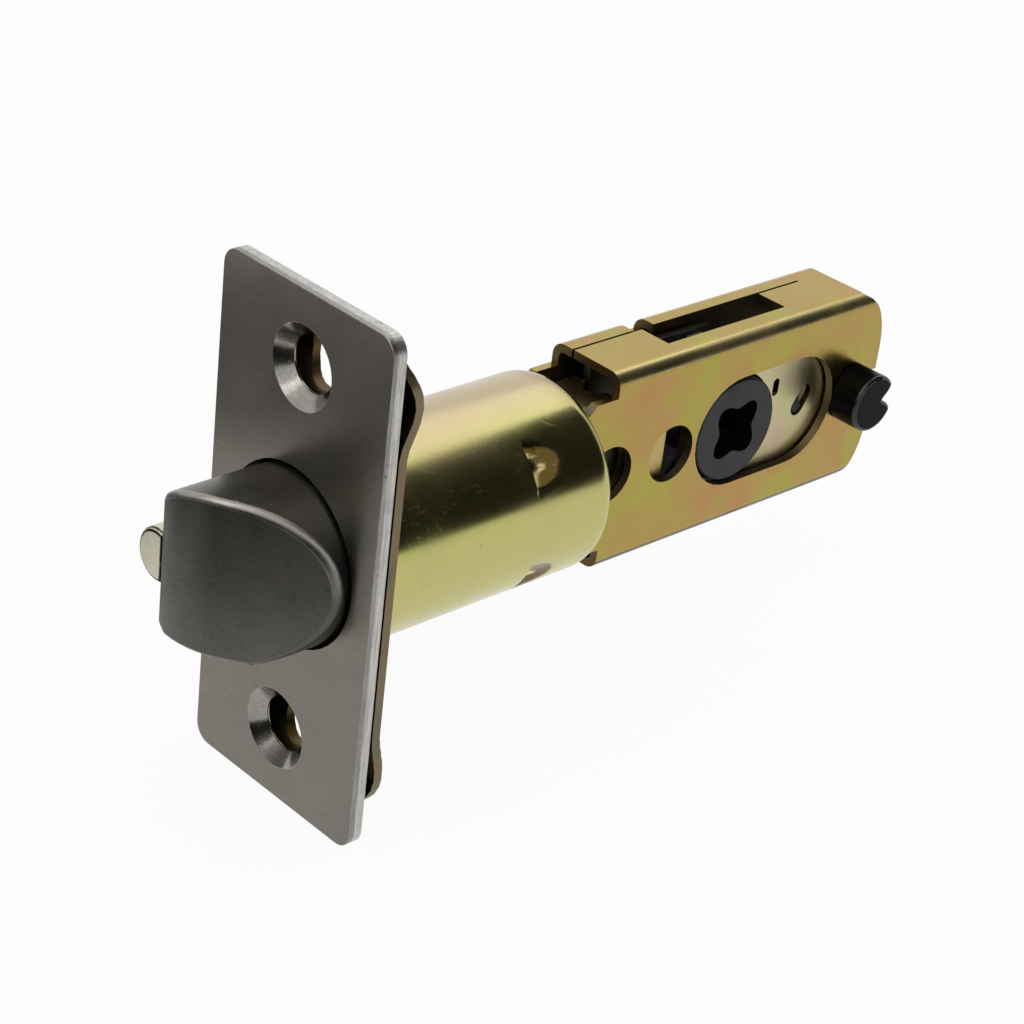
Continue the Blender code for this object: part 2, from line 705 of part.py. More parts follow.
def cut_case_top(case):
    top = (CASE_TOP - 2 * CASE_SHEET, CASE_TOP + PAST)
    seam_x = (SEAM_X - SEAM_GAP / 2, SEAM_X + SEAM_GAP / 2)
    cut(case, box("seam", seam_x, (FLANGE_FRONT - PAST, SEAM_REAR), top))
    window_x = (SEAM_X - SEAM_GAP / 2, WINDOW_SIDE)
    cut(case, box("window", window_x, (WINDOW_FRONT, WINDOW_REAR), top))
    notch_x = (-CASE_SIDE - PAST, window_x[0] + CLEARANCE)
    notch_z = (CASE_TOP - NOTCH_DEPTH, CASE_TOP + PAST)
    cut(case, box("bend_notch", notch_x, (NOTCH_FRONT, NOTCH_REAR), notch_z))


def cut_case_sides(case):
    through = CASE_SIDE + PAST
    for name, y in (("front_round_hole", FRONT_HOLE_Y), ("rear_round_hole", REAR_HOLE_Y)):
        cut(case, cylinder(name, HOLE_RADIUS, -through, through, "X", (y, 0.0), 32))
    slot = capsule((HUB_Y, 0.0), (HUB_Y + BACKSET_STEP, 0.0), SLOT_RADIUS, 16)
    cut(case, prism("hub_slot", [slot], -through, through, "X"))
    half = SHANK_RADIUS + CLEARANCE
    notch = capsule((KNOB_Y, KNOB_Z), (CASE_REAR + 2 * half, KNOB_Z), half, 12)
    cut(case, prism("shank_notch", [notch], CASE_SIDE - 2 * CASE_SHEET, through, "X"))


def make_outer_case():
    outer = rounded_rectangle(CASE_WIDTH, CASE_HEIGHT, CASE_BEND)
    inner_bend = CASE_BEND - CASE_SHEET
    inner = rounded_rectangle(
        CASE_WIDTH - 2 * CASE_SHEET, CASE_HEIGHT - 2 * CASE_SHEET, inner_bend, 3
    )
    case = prism("outer_case", [outer, inner], NECK_FRONT - PAST, CASE_REAR + PAST, "Y")
    keep(case, prism("case_outline", [case_outline()], -CASE_WIDTH, CASE_WIDTH, "X"))
    cut_case_top(case)
    cut_case_sides(case)
    return case


def make_inner_frame():
    """Two side plates joined by a short top web: an arch section cut away in front and behind."""
    width = 2 * CARRIAGE_OUTER
    bend = FRAME_SHEET * 1.5
    half = width / 2
    top = FRAME_HEIGHT / 2
    outer = arc((half - bend, top - bend), (bend, bend), 0, 90, 4)
    inner_half = half - FRAME_SHEET
    inner_bend = bend - FRAME_SHEET
    inner_top = top - FRAME_SHEET
    centre = (inner_half - inner_bend, inner_top - inner_bend)
    inner = arc(centre, (inner_bend, inner_bend), 90, 0, 4)
    right = [(half, -top)] + outer
    left = [(-x, z) for x, z in reversed(right)]
    inner_right = inner + [(inner_half, -top)]
    inner_left = [(-x, z) for x, z in reversed(inner_right)]
    outline = right + left + inner_left + inner_right
    front = NECK_FRONT + CLEARANCE
    frame = prism("inner_frame", [outline], front, FRAME_REAR, "Y")
    wide = symmetric(half + PAST)
    high = (inner_top - bend, top + PAST)
    cut(frame, box("web_front_cut", wide, (front - PAST, WEB_FRONT), high))
    cut(frame, box("web_rear_cut", wide, (WEB_REAR, FRAME_REAR + PAST), high))
    web_notch = cylinder_upright("web_notch", WEB_NOTCH, inner_top - PAST, top + PAST, WEB_REAR)
    cut(frame, web_notch)
    hole = (-half - PAST, half + PAST)
    cut(frame, cylinder("frame_hole", HOLE_RADIUS, *hole, "X", (FRONT_HOLE_Y, 0.0), 32))
    return frame


def cylinder_upright(name, radius, low, high, y):
    outline = arc((0.0, y), (radius, radius), 0, 345, 23)
    return prism(name, [outline], low, high, "Z")


def plate_outline():
    upper = rear_corner(CLEARANCE, CARRIAGE_TOP)
    if CARRIAGE_TOP - upper[-1][1] > MM / 100:
        upper.append((upper[-1][0], CARRIAGE_TOP))
    upper.append((CARRIAGE_FRONT, CARRIAGE_TOP))
    return upper + [(y, -z) for y, z in reversed(upper)]


def make_carriage_plate(name, side):
    low, high = sorted((side * CARRIAGE_INNER, side * CARRIAGE_OUTER))
    plate = prism(name, [plate_outline()], low, high, "X")
    through = (low - PAST, high + PAST)

    def hole(label, radius, centre, segments=SMALL_ROUND):
        cut(plate, cylinder(f"{name}_{label}", radius, *through, "X", centre, segments))

    hole("journal", JOURNAL_RADIUS + CLEARANCE, (HUB_Y, 0.0), ROUND)
    hole("top", TENON_RADIUS + CLEARANCE, (REAR_PIN_Y, REAR_PIN_Z))
    hole("bottom", TENON_RADIUS + CLEARANCE, (REAR_PIN_Y, -REAR_PIN_Z))
    if side < 0:
        hole("middle", TENON_RADIUS + CLEARANCE, MIDDLE_PIN)
        return plate
    hole("shank", SHANK_RADIUS + CLEARANCE, (KNOB_Y, KNOB_Z))
    oval_y, oval_z = SMALL_OVAL
    oval = capsule((oval_y, oval_z - SMALL_OVAL_HALF), (oval_y, oval_z + SMALL_OVAL_HALF), OVAL_RADIUS)
    cut(plate, prism("small_oval", [oval], *through, "X"))
    slant_y, slant_z = SLANT_OVAL
    half_y, half_z = SLANT_OVAL_HALF
    ends = ((slant_y - half_y, slant_z - half_z), (slant_y + half_y, slant_z + half_z))
    cut(plate, prism("slant_oval", [capsule(*ends, TENON_RADIUS + CLEARANCE)], *through, "X"))
    return plate


def make_spacer(name, centre):
    """A pin with a shoulder between the carriage plates and a tenon in each."""
    shoulder = CARRIAGE_INNER - CLEARANCE
    end = CARRIAGE_OUTER - CLEARANCE / 2
    profile = [
        (0.0, end),
        (TENON_RADIUS, end),
        (TENON_RADIUS, shoulder),
        (SPACER_RADIUS, shoulder),
        (SPACER_RADIUS, -shoulder),
        (TENON_RADIUS, -shoulder),
        (TENON_RADIUS, -end),
        (0.0, -end),
    ]
    return turned(name, profile, "X", (0.0, *centre), steps=SMALL_ROUND)


def knob_outline():
    """Round, with a notch at the rear that leaves two lobes."""
    points = []
    for step in range(60):
        degrees = -180 + step * 6
        from_notch = (degrees - KNOB_NOTCH_ANGLE) / KNOB_NOTCH_SPREAD
        radius = KNOB_RADIUS
        if abs(from_notch) < 1:
            radius -= KNOB_NOTCH * (0.5 + 0.5 * math.cos(math.pi * from_notch))
        angle = math.radians(degrees)
        points.append((KNOB_Y + radius * math.cos(angle), KNOB_Z + radius * math.sin(angle)))
    return points


def make_knob():
    inner = CASE_SIDE + CLEARANCE
    knob = prism("adjuster_knob", [knob_outline()], inner, inner + KNOB_HEIGHT, "X")
    soften(knob, KNOB_EDGE)
    shank_end = -CARRIAGE_INNER + CLEARANCE
    join(knob, cylinder("shank", SHANK_RADIUS, shank_end, inner + KNOB_HEIGHT / 2, "X", (KNOB_Y, KNOB_Z)))
    return knob


def hub_profile():
    end = CASE_SIDE - JOURNAL_SINK
    journal = STRAP_OUTER + CLEARANCE
    cam = CAM_THICK / 2
    edge = JOURNAL_SINK
    upper = [
        (0.0, end),
        (JOURNAL_RADIUS - edge, end),
        (JOURNAL_RADIUS, end - edge),
        (JOURNAL_RADIUS, journal),
        (HUB_CORE, journal),
        (HUB_CORE, cam),
        (CAM_RADIUS, cam),
    ]
    return upper + [(radius, -height) for radius, height in reversed(upper)]


def star_outline():
    """The four-lobed spindle hole, lobes on the diagonals."""
    mean = (STAR_TIP + STAR_NOTCH) / 2
    swing = (STAR_TIP - STAR_NOTCH) / 2
    points = []
    for step in range(40):
        angle = 2 * math.pi * step / 40
        radius = mean - swing * math.cos(4 * angle)
        points.append((HUB_Y + radius * math.cos(angle), radius * math.sin(angle)))
    return points


def make_hub():
    hub = turned("hub", hub_profile(), "X", (0.0, HUB_Y, 0.0))
    thick = CAM_THICK / 2 - FINGER_SINK
    lean = math.radians(FINGER_ANGLE)
    for name, up in (("top_finger", 1), ("bottom_finger", -1)):
        reach = FINGER_TIP_CENTRE
        tip = (HUB_Y - reach * math.sin(lean), up * reach * math.cos(lean))
        finger = capsule((HUB_Y, 0.0), tip, FINGER_WIDTH / 2)
        join(hub, prism(name, [finger], -thick, thick, "X"))
    through = CASE_SIDE + PAST
    cut(hub, prism("star_hole", [star_outline()], -through, through, "X"))
    return hub


def strap_outline():
    """A tongue in front, then two arms with the open window for the hub between them."""
    tongue = TONGUE_HEIGHT / 2
    arm = ARM_TOP
    window = HUB_CORE + HUB_WINDOW_PLAY
    window_centre = HUB_Y - BOLT_THROW
    upper = arc((window_centre, 0.0), (window, window), 180, 90, 8)
    upper += [(YOKE_REAR, window), (YOKE_REAR, arm), (ARM_FRONT + ARM_CORNER, arm), (ARM_FRONT, arm - ARM_CORNER)]
    upper += [(ARM_FRONT, tongue), (TONGUE_FRONT, tongue)]
    return upper[1:] + [(y, -z) for y, z in reversed(upper)]


def pocket_slot(name, through):
    """The drawbar pin's slot: a straight run with a pocket below each end."""
    wide = PIN_RADIUS + CLEARANCE
    front = DRAWBAR_PIN_Y - BACKSET_STEP
    rear = DRAWBAR_PIN_Y
    run = capsule((front, 0.0), (rear, 0.0), wide)
    slot = prism(name, [run], *through, "X")
    for label, y in (("front", front), ("rear", rear)):
        pocket = capsule((y, 0.0), (y, -POCKET_DROP), wide * 0.98)
        join(slot, prism(f"{name}_{label}", [pocket], *through, "X"))
    return slot


def yoke_bar_middle():
    return (YOKE_BAR_FRONT + YOKE_BAR_DEPTH / 2, (YOKE_BAR_LOW + YOKE_BAR_HIGH) / 2)


def make_strap(name, side):
    low, high = sorted((side * STRAP_INNER, side * STRAP_OUTER))
    strap = prism(name, [strap_outline()], low, high, "X")
    through = (low - PAST, high + PAST)
    cut(strap, pocket_slot(f"{name}_slot", through))
    y, z = yoke_bar_middle()
    for label, up in (("top", 1), ("bottom", -1)):
        hole = cylinder(f"{name}_{label}", YOKE_TENON + CLEARANCE, *through, "X", (y, up * z))
        cut(strap, hole)
    return strap


def make_yoke_bar(name, up):
    half = STRAP_INNER - CLEARANCE
    y = (YOKE_BAR_FRONT, YOKE_BAR_FRONT + YOKE_BAR_DEPTH)
    z = sorted((up * YOKE_BAR_LOW, up * YOKE_BAR_HIGH))
    bar = box(name, symmetric(half), y, z)
    soften(bar, BROKEN_EDGE, 1)
    middle = yoke_bar_middle()
    end = STRAP_OUTER
    tenon = cylinder(f"{name}_tenon", YOKE_TENON, -end, end, "X", (middle[0], up * middle[1]))
    join(bar, tenon)
    return bar


def ride_on(name, location, parent, pieces):
    """Hangs pieces on an empty that lies on their joint's axis."""
    empty = bpy.data.objects.new(name, None)
    empty.empty_display_size = 5 * MM
    empty.location = location
    bpy.data.collections["adjustable_latch"].objects.link(empty)
    bpy.context.view_layer.update()
    if parent:
        empty.parent = parent
        empty.matrix_parent_inverse = parent.matrix_world.inverted()
        bpy.context.view_layer.update()
    for piece in pieces:
        piece.parent = empty
        piece.matrix_parent_inverse = empty.matrix_world.inverted()
    return empty


def finish(piece, material):
    for collection in list(piece.users_collection):
        collection.objects.unlink(piece)
    bpy.data.collections["adjustable_latch"].objects.link(piece)
    piece.data.materials.clear()
    piece.data.materials.append(material)
    if piece.type == "MESH":
        piece.data.shade_smooth()
        piece.data.set_sharp_from_angle(angle=math.radians(30))
    return piece


def make_materials():
    return {
        "faceplate": new_material("Etched face steel", (0.16, 0.14, 0.13), 0.9, 0.5),
        "backing": new_material("Pale zinc sheet", (0.55, 0.52, 0.46), 0.9, 0.4),
        "barrel": new_material("Yellow zinc tube", (0.52, 0.50, 0.15), 1.0, 0.3),
        "seat": new_material("Zinc seat disc", (0.50, 0.47, 0.30), 1.0, 0.4),
        "frame": new_material("Cream zinc channel", (0.60, 0.50, 0.30), 1.0, 0.4),
        "case": new_material("Tan zinc case", (0.45, 0.32, 0.12), 1.0, 0.35),
        "bolt": new_material("Dark cast bolt", (0.07, 0.06, 0.06), 0.8, 0.4),
        "drawbar": new_material("Drawbar steel", (0.40, 0.40, 0.38), 1.0, 0.4),
        "pin": new_material("Pin steel", (0.45, 0.45, 0.44), 1.0, 0.3),
        "spring": new_material("Spring wire", (0.30, 0.30, 0.30), 1.0, 0.3),
        "plunger": new_material("Pale plunger steel", (0.60, 0.55, 0.45), 0.9, 0.35),
        "bar": new_material("Deadlatch bar steel", (0.38, 0.38, 0.36), 1.0, 0.4),
        "carriage": new_material("Pale carriage zinc", (0.60, 0.52, 0.38), 1.0, 0.4),
        "knob": new_material("Black plastic", (0.005, 0.005, 0.006), 0.0, 0.35),
        "hub": new_material("Dark sintered hub", (0.04, 0.04, 0.04), 0.8, 0.5),
        "strap": new_material("Yoke strap steel", (0.42, 0.38, 0.28), 1.0, 0.4),
        "yoke_bar": new_material("Yoke bar steel", (0.36, 0.36, 0.34), 1.0, 0.4),
    }


def make_housing(materials):
    finish(make_faceplate(), materials["faceplate"])
    finish(make_backing_plate(), materials["backing"])
    finish(make_barrel(), materials["barrel"])
    finish(make_spring_seat(), materials["seat"])
    finish(make_inner_frame(), materials["frame"])
    finish(make_outer_case(), materials["case"])
    finish(make_bolt_spring(), materials["spring"])
    finish(make_plunger_spring(), materials["spring"])


def make_bolt_group(materials):
    pieces = [
        finish(make_latch_bolt(), materials["bolt"]),
        finish(make_drawbar(), materials["drawbar"]),
        finish(make_drawbar_pin(), materials["pin"]),
    ]
    ride_on("bolt_slide_axis", (0.0, 0.0, 0.0), None, pieces)


def make_plunger_group(materials):
    pieces = [
        finish(make_plunger(), materials["plunger"]),
        finish(make_deadlatch_bar(), materials["bar"]),
    ]
    ride_on("plunger_slide_axis", (PLUNGER_X, 0.0, 0.0), None, pieces)


def make_carriage_group(materials):
    steel = materials["carriage"]
    pieces = [
        finish(make_carriage_plate("carriage_plate_near", 1), steel),
        finish(make_carriage_plate("carriage_plate_far", -1), steel),
        finish(make_spacer("carriage_pin_middle", MIDDLE_PIN), materials["pin"]),
        finish(make_spacer("carriage_pin_top", (REAR_PIN_Y, REAR_PIN_Z)), materials["pin"]),
        finish(make_spacer("carriage_pin_bottom", (REAR_PIN_Y, -REAR_PIN_Z)), materials["pin"]),
        finish(make_knob(), materials["knob"]),
    ]
    carriage = ride_on("backset_slide_axis", (0.0, HUB_Y, 0.0), None, pieces)
    ride_on("hub_axis", (0.0, HUB_Y, 0.0), carriage, [finish(make_hub(), materials["hub"])])
    yoke = [
        finish(make_strap("yoke_strap_near", 1), materials["strap"]),
        finish(make_strap("yoke_strap_far", -1), materials["strap"]),
        finish(make_yoke_bar("yoke_bar_top", 1), materials["yoke_bar"]),
        finish(make_yoke_bar("yoke_bar_bottom", -1), materials["yoke_bar"]),
    ]
    ride_on("yoke_slide_axis", (0.0, HUB_Y, 0.0), carriage, yoke)


def main():
    clear_scene()
    new_collection("adjustable_latch")
    new_collection("latch_cutters").hide_render = True
    materials = make_materials()
    make_housing(materials)
    make_bolt_group(materials)
    make_plunger_group(materials)
    make_carriage_group(materials)


main()
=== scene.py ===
# %% [markdown]
# # An adjustable door latch, dressed for its picture
# The CAD model of this latch is already packed: a faceplate, a sprung bolt with a small deadlatch
# plunger beside it, a round barrel, and a folded sheet case with a hub that slides to suit the door.
# This lesson loads it as a fixed frame and gives every piece its real edges and its real metal.
# Lengths are in metres, as Blender has them, so a length in millimetres is written with "* MM".

# %% Load the packed latch
import json
import math

import bmesh
import bpy
from mathutils import Matrix, Vector


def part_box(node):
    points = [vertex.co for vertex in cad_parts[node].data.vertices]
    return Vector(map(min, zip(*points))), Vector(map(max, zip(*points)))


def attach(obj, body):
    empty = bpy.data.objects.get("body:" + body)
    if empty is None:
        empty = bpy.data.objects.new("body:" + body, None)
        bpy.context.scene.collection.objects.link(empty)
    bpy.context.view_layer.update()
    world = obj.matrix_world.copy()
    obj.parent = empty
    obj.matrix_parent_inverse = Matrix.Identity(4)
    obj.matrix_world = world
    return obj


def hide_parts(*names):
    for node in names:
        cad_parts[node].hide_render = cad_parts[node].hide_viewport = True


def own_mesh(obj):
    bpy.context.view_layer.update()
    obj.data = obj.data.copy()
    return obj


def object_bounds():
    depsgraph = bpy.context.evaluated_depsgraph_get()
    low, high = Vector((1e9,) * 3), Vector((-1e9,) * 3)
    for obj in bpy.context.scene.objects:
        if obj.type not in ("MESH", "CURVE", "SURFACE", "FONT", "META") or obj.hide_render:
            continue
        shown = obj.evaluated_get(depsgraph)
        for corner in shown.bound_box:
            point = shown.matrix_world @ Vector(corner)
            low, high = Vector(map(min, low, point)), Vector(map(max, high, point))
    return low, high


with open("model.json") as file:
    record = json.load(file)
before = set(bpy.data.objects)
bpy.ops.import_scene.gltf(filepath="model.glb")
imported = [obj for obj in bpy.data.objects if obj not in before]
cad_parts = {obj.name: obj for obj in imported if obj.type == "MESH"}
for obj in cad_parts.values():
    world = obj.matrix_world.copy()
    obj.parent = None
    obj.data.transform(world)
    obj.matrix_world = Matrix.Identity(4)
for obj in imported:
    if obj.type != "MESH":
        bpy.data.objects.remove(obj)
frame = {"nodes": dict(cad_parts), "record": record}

MM = 0.001
cad_low, cad_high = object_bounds()
print("CAD box in mm:", [round((high - low) / MM, 2) for low, high in zip(cad_low, cad_high)])

# %% [markdown]
# ## Camera
# The picture was taken from the front right and a little above, with a longish lens close to the
# latch, and the camera was rolled by seven degrees. A camera that looks at a point is easy to read:
# place it, turn its view axis at the point, then roll it round that axis.

# %% Camera
CAMERA_PLACE = Vector((169.03, -144.81, 128.86)) * MM
LOOKED_AT = Vector((0.0, 30.963, -4.358)) * MM
CAMERA_ROLL = math.radians(7.007)
LENS = 91.33
NEAREST_SEEN, FURTHEST_SEEN = 0.01, 20.0

camera = bpy.data.objects.new("Camera", bpy.data.cameras.new("Camera"))
bpy.context.scene.collection.objects.link(camera)
camera.data.lens = LENS
camera.data.clip_start, camera.data.clip_end = NEAREST_SEEN, FURTHEST_SEEN
aim = (LOOKED_AT - CAMERA_PLACE).to_track_quat("-Z", "Y").to_matrix().to_4x4()
camera.matrix_world = Matrix.Translation(CAMERA_PLACE) @ aim @ Matrix.Rotation(CAMERA_ROLL, 4, "Z")
bpy.context.scene.camera = camera
bpy.context.scene.view_settings.view_transform = "Standard"
print("Camera distance in mm:", round((LOOKED_AT - CAMERA_PLACE).length / MM, 1))

# %% [markdown]
# ## Short calls for node trees
# The room, the floor, every metal and the two trees that grow shapes are laid out with nodes. A
# small class keeps that readable: one call adds a node, sets it and links its inputs. The other
# calls stand for the sums, ramps, mixes and noises that come up again and again.

# %% Node tree helper
class Tree:
    """Short calls to lay out one node tree."""

    def __init__(self, tree):
        self.tree = tree

    def add(self, kind, settings=None, **inputs):
        """A new node. Inputs go by name, with an underscore for each space in the name."""
        node = self.tree.nodes.new(kind)
        for key, value in (settings or {}).items():
            setattr(node, key, value)
        for key, value in inputs.items():
            self.feed(node.inputs[key.replace("_", " ")], value)
        return node

    def feed(self, socket, value):
        """Links the socket to another socket, or sets it to a plain value."""
        if isinstance(value, bpy.types.NodeSocket):
            self.tree.links.new(value, socket)
        else:
            socket.default_value = value

    def feed_all(self, node, values):
        """Feeds the values to the first inputs of the node, in their order."""
        for socket, value in zip(node.inputs, values):
            self.feed(socket, value)
        return node

    def math(self, operation, *values):
        node = self.add("ShaderNodeMath", {"operation": operation})
        return self.feed_all(node, values).outputs[0]

    def span(self, value, low, high, to_low=0.0, to_high=1.0):
        """A smooth ramp from one pair of values to another."""
        ramp = self.add("ShaderNodeMapRange", {"interpolation_type": "SMOOTHSTEP"})
        return self.feed_all(ramp, (value, low, high, to_low, to_high)).outputs[0]

    def mix(self, share, first, second):
        """A mix of two colours: this node takes them at inputs 6 and 7 and gives output 2."""
        node = self.add("ShaderNodeMix", {"data_type": "RGBA"})
        for number, value in ((0, share), (6, first), (7, second)):
            self.feed(node.inputs[number], value)
        return node.outputs[2]

    def noise(self, vector, scale, detail=3.0, roughness=0.5, distortion=0.0):
        node = self.add("ShaderNodeTexNoise", Vector=vector, Scale=scale, Detail=detail,
                        Roughness=roughness, Distortion=distortion)
        return node.outputs[0]

    def place(self, group, **inputs):
        """A shared effect placed in this tree; gives back its outputs."""
        return self.add("ShaderNodeGroup", {"node_tree": group}, **inputs).outputs


def opaque(colour):
    return (*colour, 1.0)


def new_material(name):
    material = bpy.data.materials.new(name)
    material.use_nodes = True
    return material, Tree(material.node_tree)


print("Helper calls:", [call for call in vars(Tree) if not call.startswith("_")])

# %% [markdown]
# ## Room and floor
# Shiny zinc is only as good as what it reflects. The latch stands on a white floor in a white room.
# Camera, mirror and glass rays see both as clean white, while the light that they give to the latch
# is weaker. So the surround is bright and the shading of the metal still keeps its depth.

# %% Room and floor
WHITE = (1.0, 1.0, 1.0, 1.0)
ROOM_LIGHT = 0.55
FLOOR_SIZE = 6.0
FLOOR_GREY, FLOOR_ROUGH, FLOOR_GLOW = 0.9, 0.9, 0.93


def white_rays(t):
    """One at camera, mirror and glass rays, nought at the rays that light the object."""
    path = t.add("ShaderNodeLightPath").outputs
    seen = t.math("MAXIMUM", path["Is Camera Ray"], path["Is Glossy Ray"])
    return t.math("MAXIMUM", seen, path["Is Transmission Ray"])


def mix_shaders(t, share, first, second, surface):
    mixed = t.feed_all(t.add("ShaderNodeMixShader"), (share, first.outputs[0], second.outputs[0]))
    t.feed(surface, mixed.outputs[0])


def new_panel(name, corners):
    """A flat sheet of the studio."""
    mesh = bpy.data.meshes.new(name)
    mesh.from_pydata(corners, [], [(0, 1, 2, 3)])
    panel = bpy.data.objects.new(name, mesh)
    bpy.context.scene.collection.objects.link(panel)
    return panel


world = bpy.data.worlds.new("White room")
bpy.context.scene.world = world
world.use_nodes = True
t = Tree(world.node_tree)
room_light = t.tree.nodes["Background"]
room_light.inputs["Color"].default_value = WHITE
room_light.inputs["Strength"].default_value = ROOM_LIGHT
room_white = t.add("ShaderNodeBackground", Color=WHITE)
world_surface = t.tree.nodes["World Output"].inputs["Surface"]
mix_shaders(t, white_rays(t), room_light, room_white, world_surface)

half = FLOOR_SIZE / 2
floor_z = cad_low.z
floor = new_panel("Floor", [(x, y, floor_z) for x, y in
                            ((-half, -half), (half, -half), (half, half), (-half, half))])
floor_paint, t = new_material("Pale floor")
matt = t.tree.nodes["Principled BSDF"]
matt.inputs["Base Color"].default_value = opaque((FLOOR_GREY,) * 3)
matt.inputs["Roughness"].default_value = FLOOR_ROUGH
matt.inputs["Specular IOR Level"].default_value = 0.0
glow = t.add("ShaderNodeEmission", Strength=1.0)
mix_shaders(t, t.math("MULTIPLY", white_rays(t), FLOOR_GLOW), matt, glow,
            t.tree.nodes["Material Output"].inputs["Surface"])
floor.data.materials.append(floor_paint)
print("Floor at z =", round(floor_z / MM, 2), "mm")

# %% [markdown]
# ## Soft boxes and cards
# One soft box hangs behind on the left and one fills from the front. A black card at the right gives
# the barrel its dark band, and two small ones darken the bolt and the faceplate. The cards are seen
# by reflections alone, so they take no light away from the object and throw no shadow.

# %% Soft boxes and cards
MIDDLE = Vector((0.0, 34.0, 0.0)) * MM


def round_the_latch(azimuth, elevation, distance):
    """A place that faces the latch. Azimuth 0 is in front of the faceplate, 90 on the near side."""
    a, e = math.radians(azimuth), math.radians(elevation)
    back = Vector((math.sin(a) * math.cos(e), -math.cos(a) * math.cos(e), math.sin(e)))
    turn = back.to_track_quat("Z", "Y").to_matrix().to_4x4()
    return Matrix.Translation(MIDDLE + back * distance) @ turn


def soft_box(name, azimuth, elevation, distance, size, power):
    lamp = bpy.data.lights.new(name, "AREA")
    lamp.shape = "RECTANGLE"
    lamp.size, lamp.size_y = size
    lamp.energy = power
    box = bpy.data.objects.new(name, lamp)
    box.matrix_world = round_the_latch(azimuth, elevation, distance)
    bpy.context.scene.collection.objects.link(box)


def card(name, azimuth, elevation, distance, size, shade):
    """A flat card that only reflections see."""
    place = round_the_latch(azimuth, elevation, distance)
    x, y = size[0] / 2, size[1] / 2
    corners = [place @ Vector((a, b, 0.0)) for a, b in ((-x, -y), (x, -y), (x, y), (-x, y))]
    panel = new_panel(name, corners)
    material, t = new_material(name)
    t.tree.nodes.remove(t.tree.nodes["Principled BSDF"])
    plain = t.add("ShaderNodeEmission", Color=opaque((shade,) * 3))
    t.feed(t.tree.nodes["Material Output"].inputs["Surface"], plain.outputs[0])
    panel.data.materials.append(material)
    for ray in ("camera", "diffuse", "transmission", "shadow", "volume_scatter"):
        setattr(panel, f"visible_{ray}", False)


soft_box("Soft box behind", -160, 48, 1.2, (1.25, 0.65), 1.35)
soft_box("Fill in front", 25, 55, 1.2, (0.9, 0.9), 4.0)
card("Dark card right", 138, 30, 0.6, (0.76, 0.68), 0.012)
card("Dark card by the bolt", 26.6, -1, 0.087, (0.16, 0.052), 0.02)
card("Grey card by the faceplate", -28.4, 0, 0.072, (0.14, 0.025), 0.2)

# %% [markdown]
# ## Zinc bloom
# Yellow zinc is never one colour: the passivated film shifts from straw to pink and green in clouds
# of some millimetres. This group has two soft noises, one for the warm tone and one for the green.
# The second is shifted and a little finer, so that the two kinds of cloud do not follow each other.

# %% Group: zinc bloom
VECTOR, FLOAT, COLOUR = "NodeSocketVector", "NodeSocketFloat", "NodeSocketColor"
MM_PER_METRE = 1000.0
WARM_CLOUD_EDGE, GREEN_CLOUD_EDGE = (0.47, 0.68), (0.48, 0.68)
GREEN_SHIFT, GREEN_FINER = (0.37, 0.11, 0.59), 1.3


def new_group(name, inputs, outputs, kind="ShaderNodeTree"):
    """A group with named sockets: itself, its helper, its input sockets and its output sockets."""
    group = bpy.data.node_groups.new(name, kind)
    for label, socket_kind, value in inputs:
        socket = group.interface.new_socket(label, in_out="INPUT", socket_type=socket_kind)
        if value is not None:
            socket.default_value = value
    for label, socket_kind in outputs:
        group.interface.new_socket(label, in_out="OUTPUT", socket_type=socket_kind)
    tree = Tree(group)
    return group, tree, tree.add("NodeGroupInput").outputs, tree.add("NodeGroupOutput").inputs


bloom_group, t, given, out = new_group(
    "Zinc bloom",
    [("Vector", VECTOR, None), ("Size", FLOAT, 8.0), ("Film", COLOUR, None),
     ("Warm", COLOUR, None), ("Green", COLOUR, None)],
    [("Colour", COLOUR), ("Cloud", FLOAT)],
)
clouds_per_metre = t.math("DIVIDE", MM_PER_METRE, given["Size"])
warm_cloud = t.noise(given["Vector"], clouds_per_metre, 2.5, 0.5, 0.6)
shifted = t.feed_all(t.add("ShaderNodeVectorMath", {"operation": "ADD"}),
                     (given["Vector"], GREEN_SHIFT)).outputs[0]
green_cloud = t.noise(shifted, t.math("MULTIPLY", clouds_per_metre, GREEN_FINER), 2.5, 0.5, 0.5)
warmed = t.mix(t.span(warm_cloud, *WARM_CLOUD_EDGE), given["Film"], given["Warm"])
t.feed(out["Colour"], t.mix(t.span(green_cloud, *GREEN_CLOUD_EDGE), warmed, given["Green"]))
t.feed(out["Cloud"], warm_cloud)
print("Group:", bloom_group.name, [socket.name for socket in out if socket.name])

# %% [markdown]
# ## Fine scratches
# Handling leaves hair scratches that run mostly one way. A noise that is stretched ten times along
# one axis and cut off high gives such hairs. Three of them with a different lean are laid together,
# and a coarse noise keeps them to patches, as real wear is never even.

# %% Group: fine scratches
SCRATCH_RUNS = ((0.0, 14.0), (0.55, 10.0), (-0.9, 8.0))
LEAN_OVER_Y = 0.7
RUN_SHIFT = (0.013, 0.029)
HAIRS, HAIR_EDGE = 2600.0, (0.66, 0.74)
PATCHES, PATCH_EDGE = 260.0, (0.35, 0.65)


def turned(t, given):
    """The place with the way of the grain laid along Y."""
    return t.add("ShaderNodeVectorRotate", {"rotation_type": "EULER_XYZ"},
                 Vector=given["Vector"], Rotation=given["Turn"]).outputs[0]


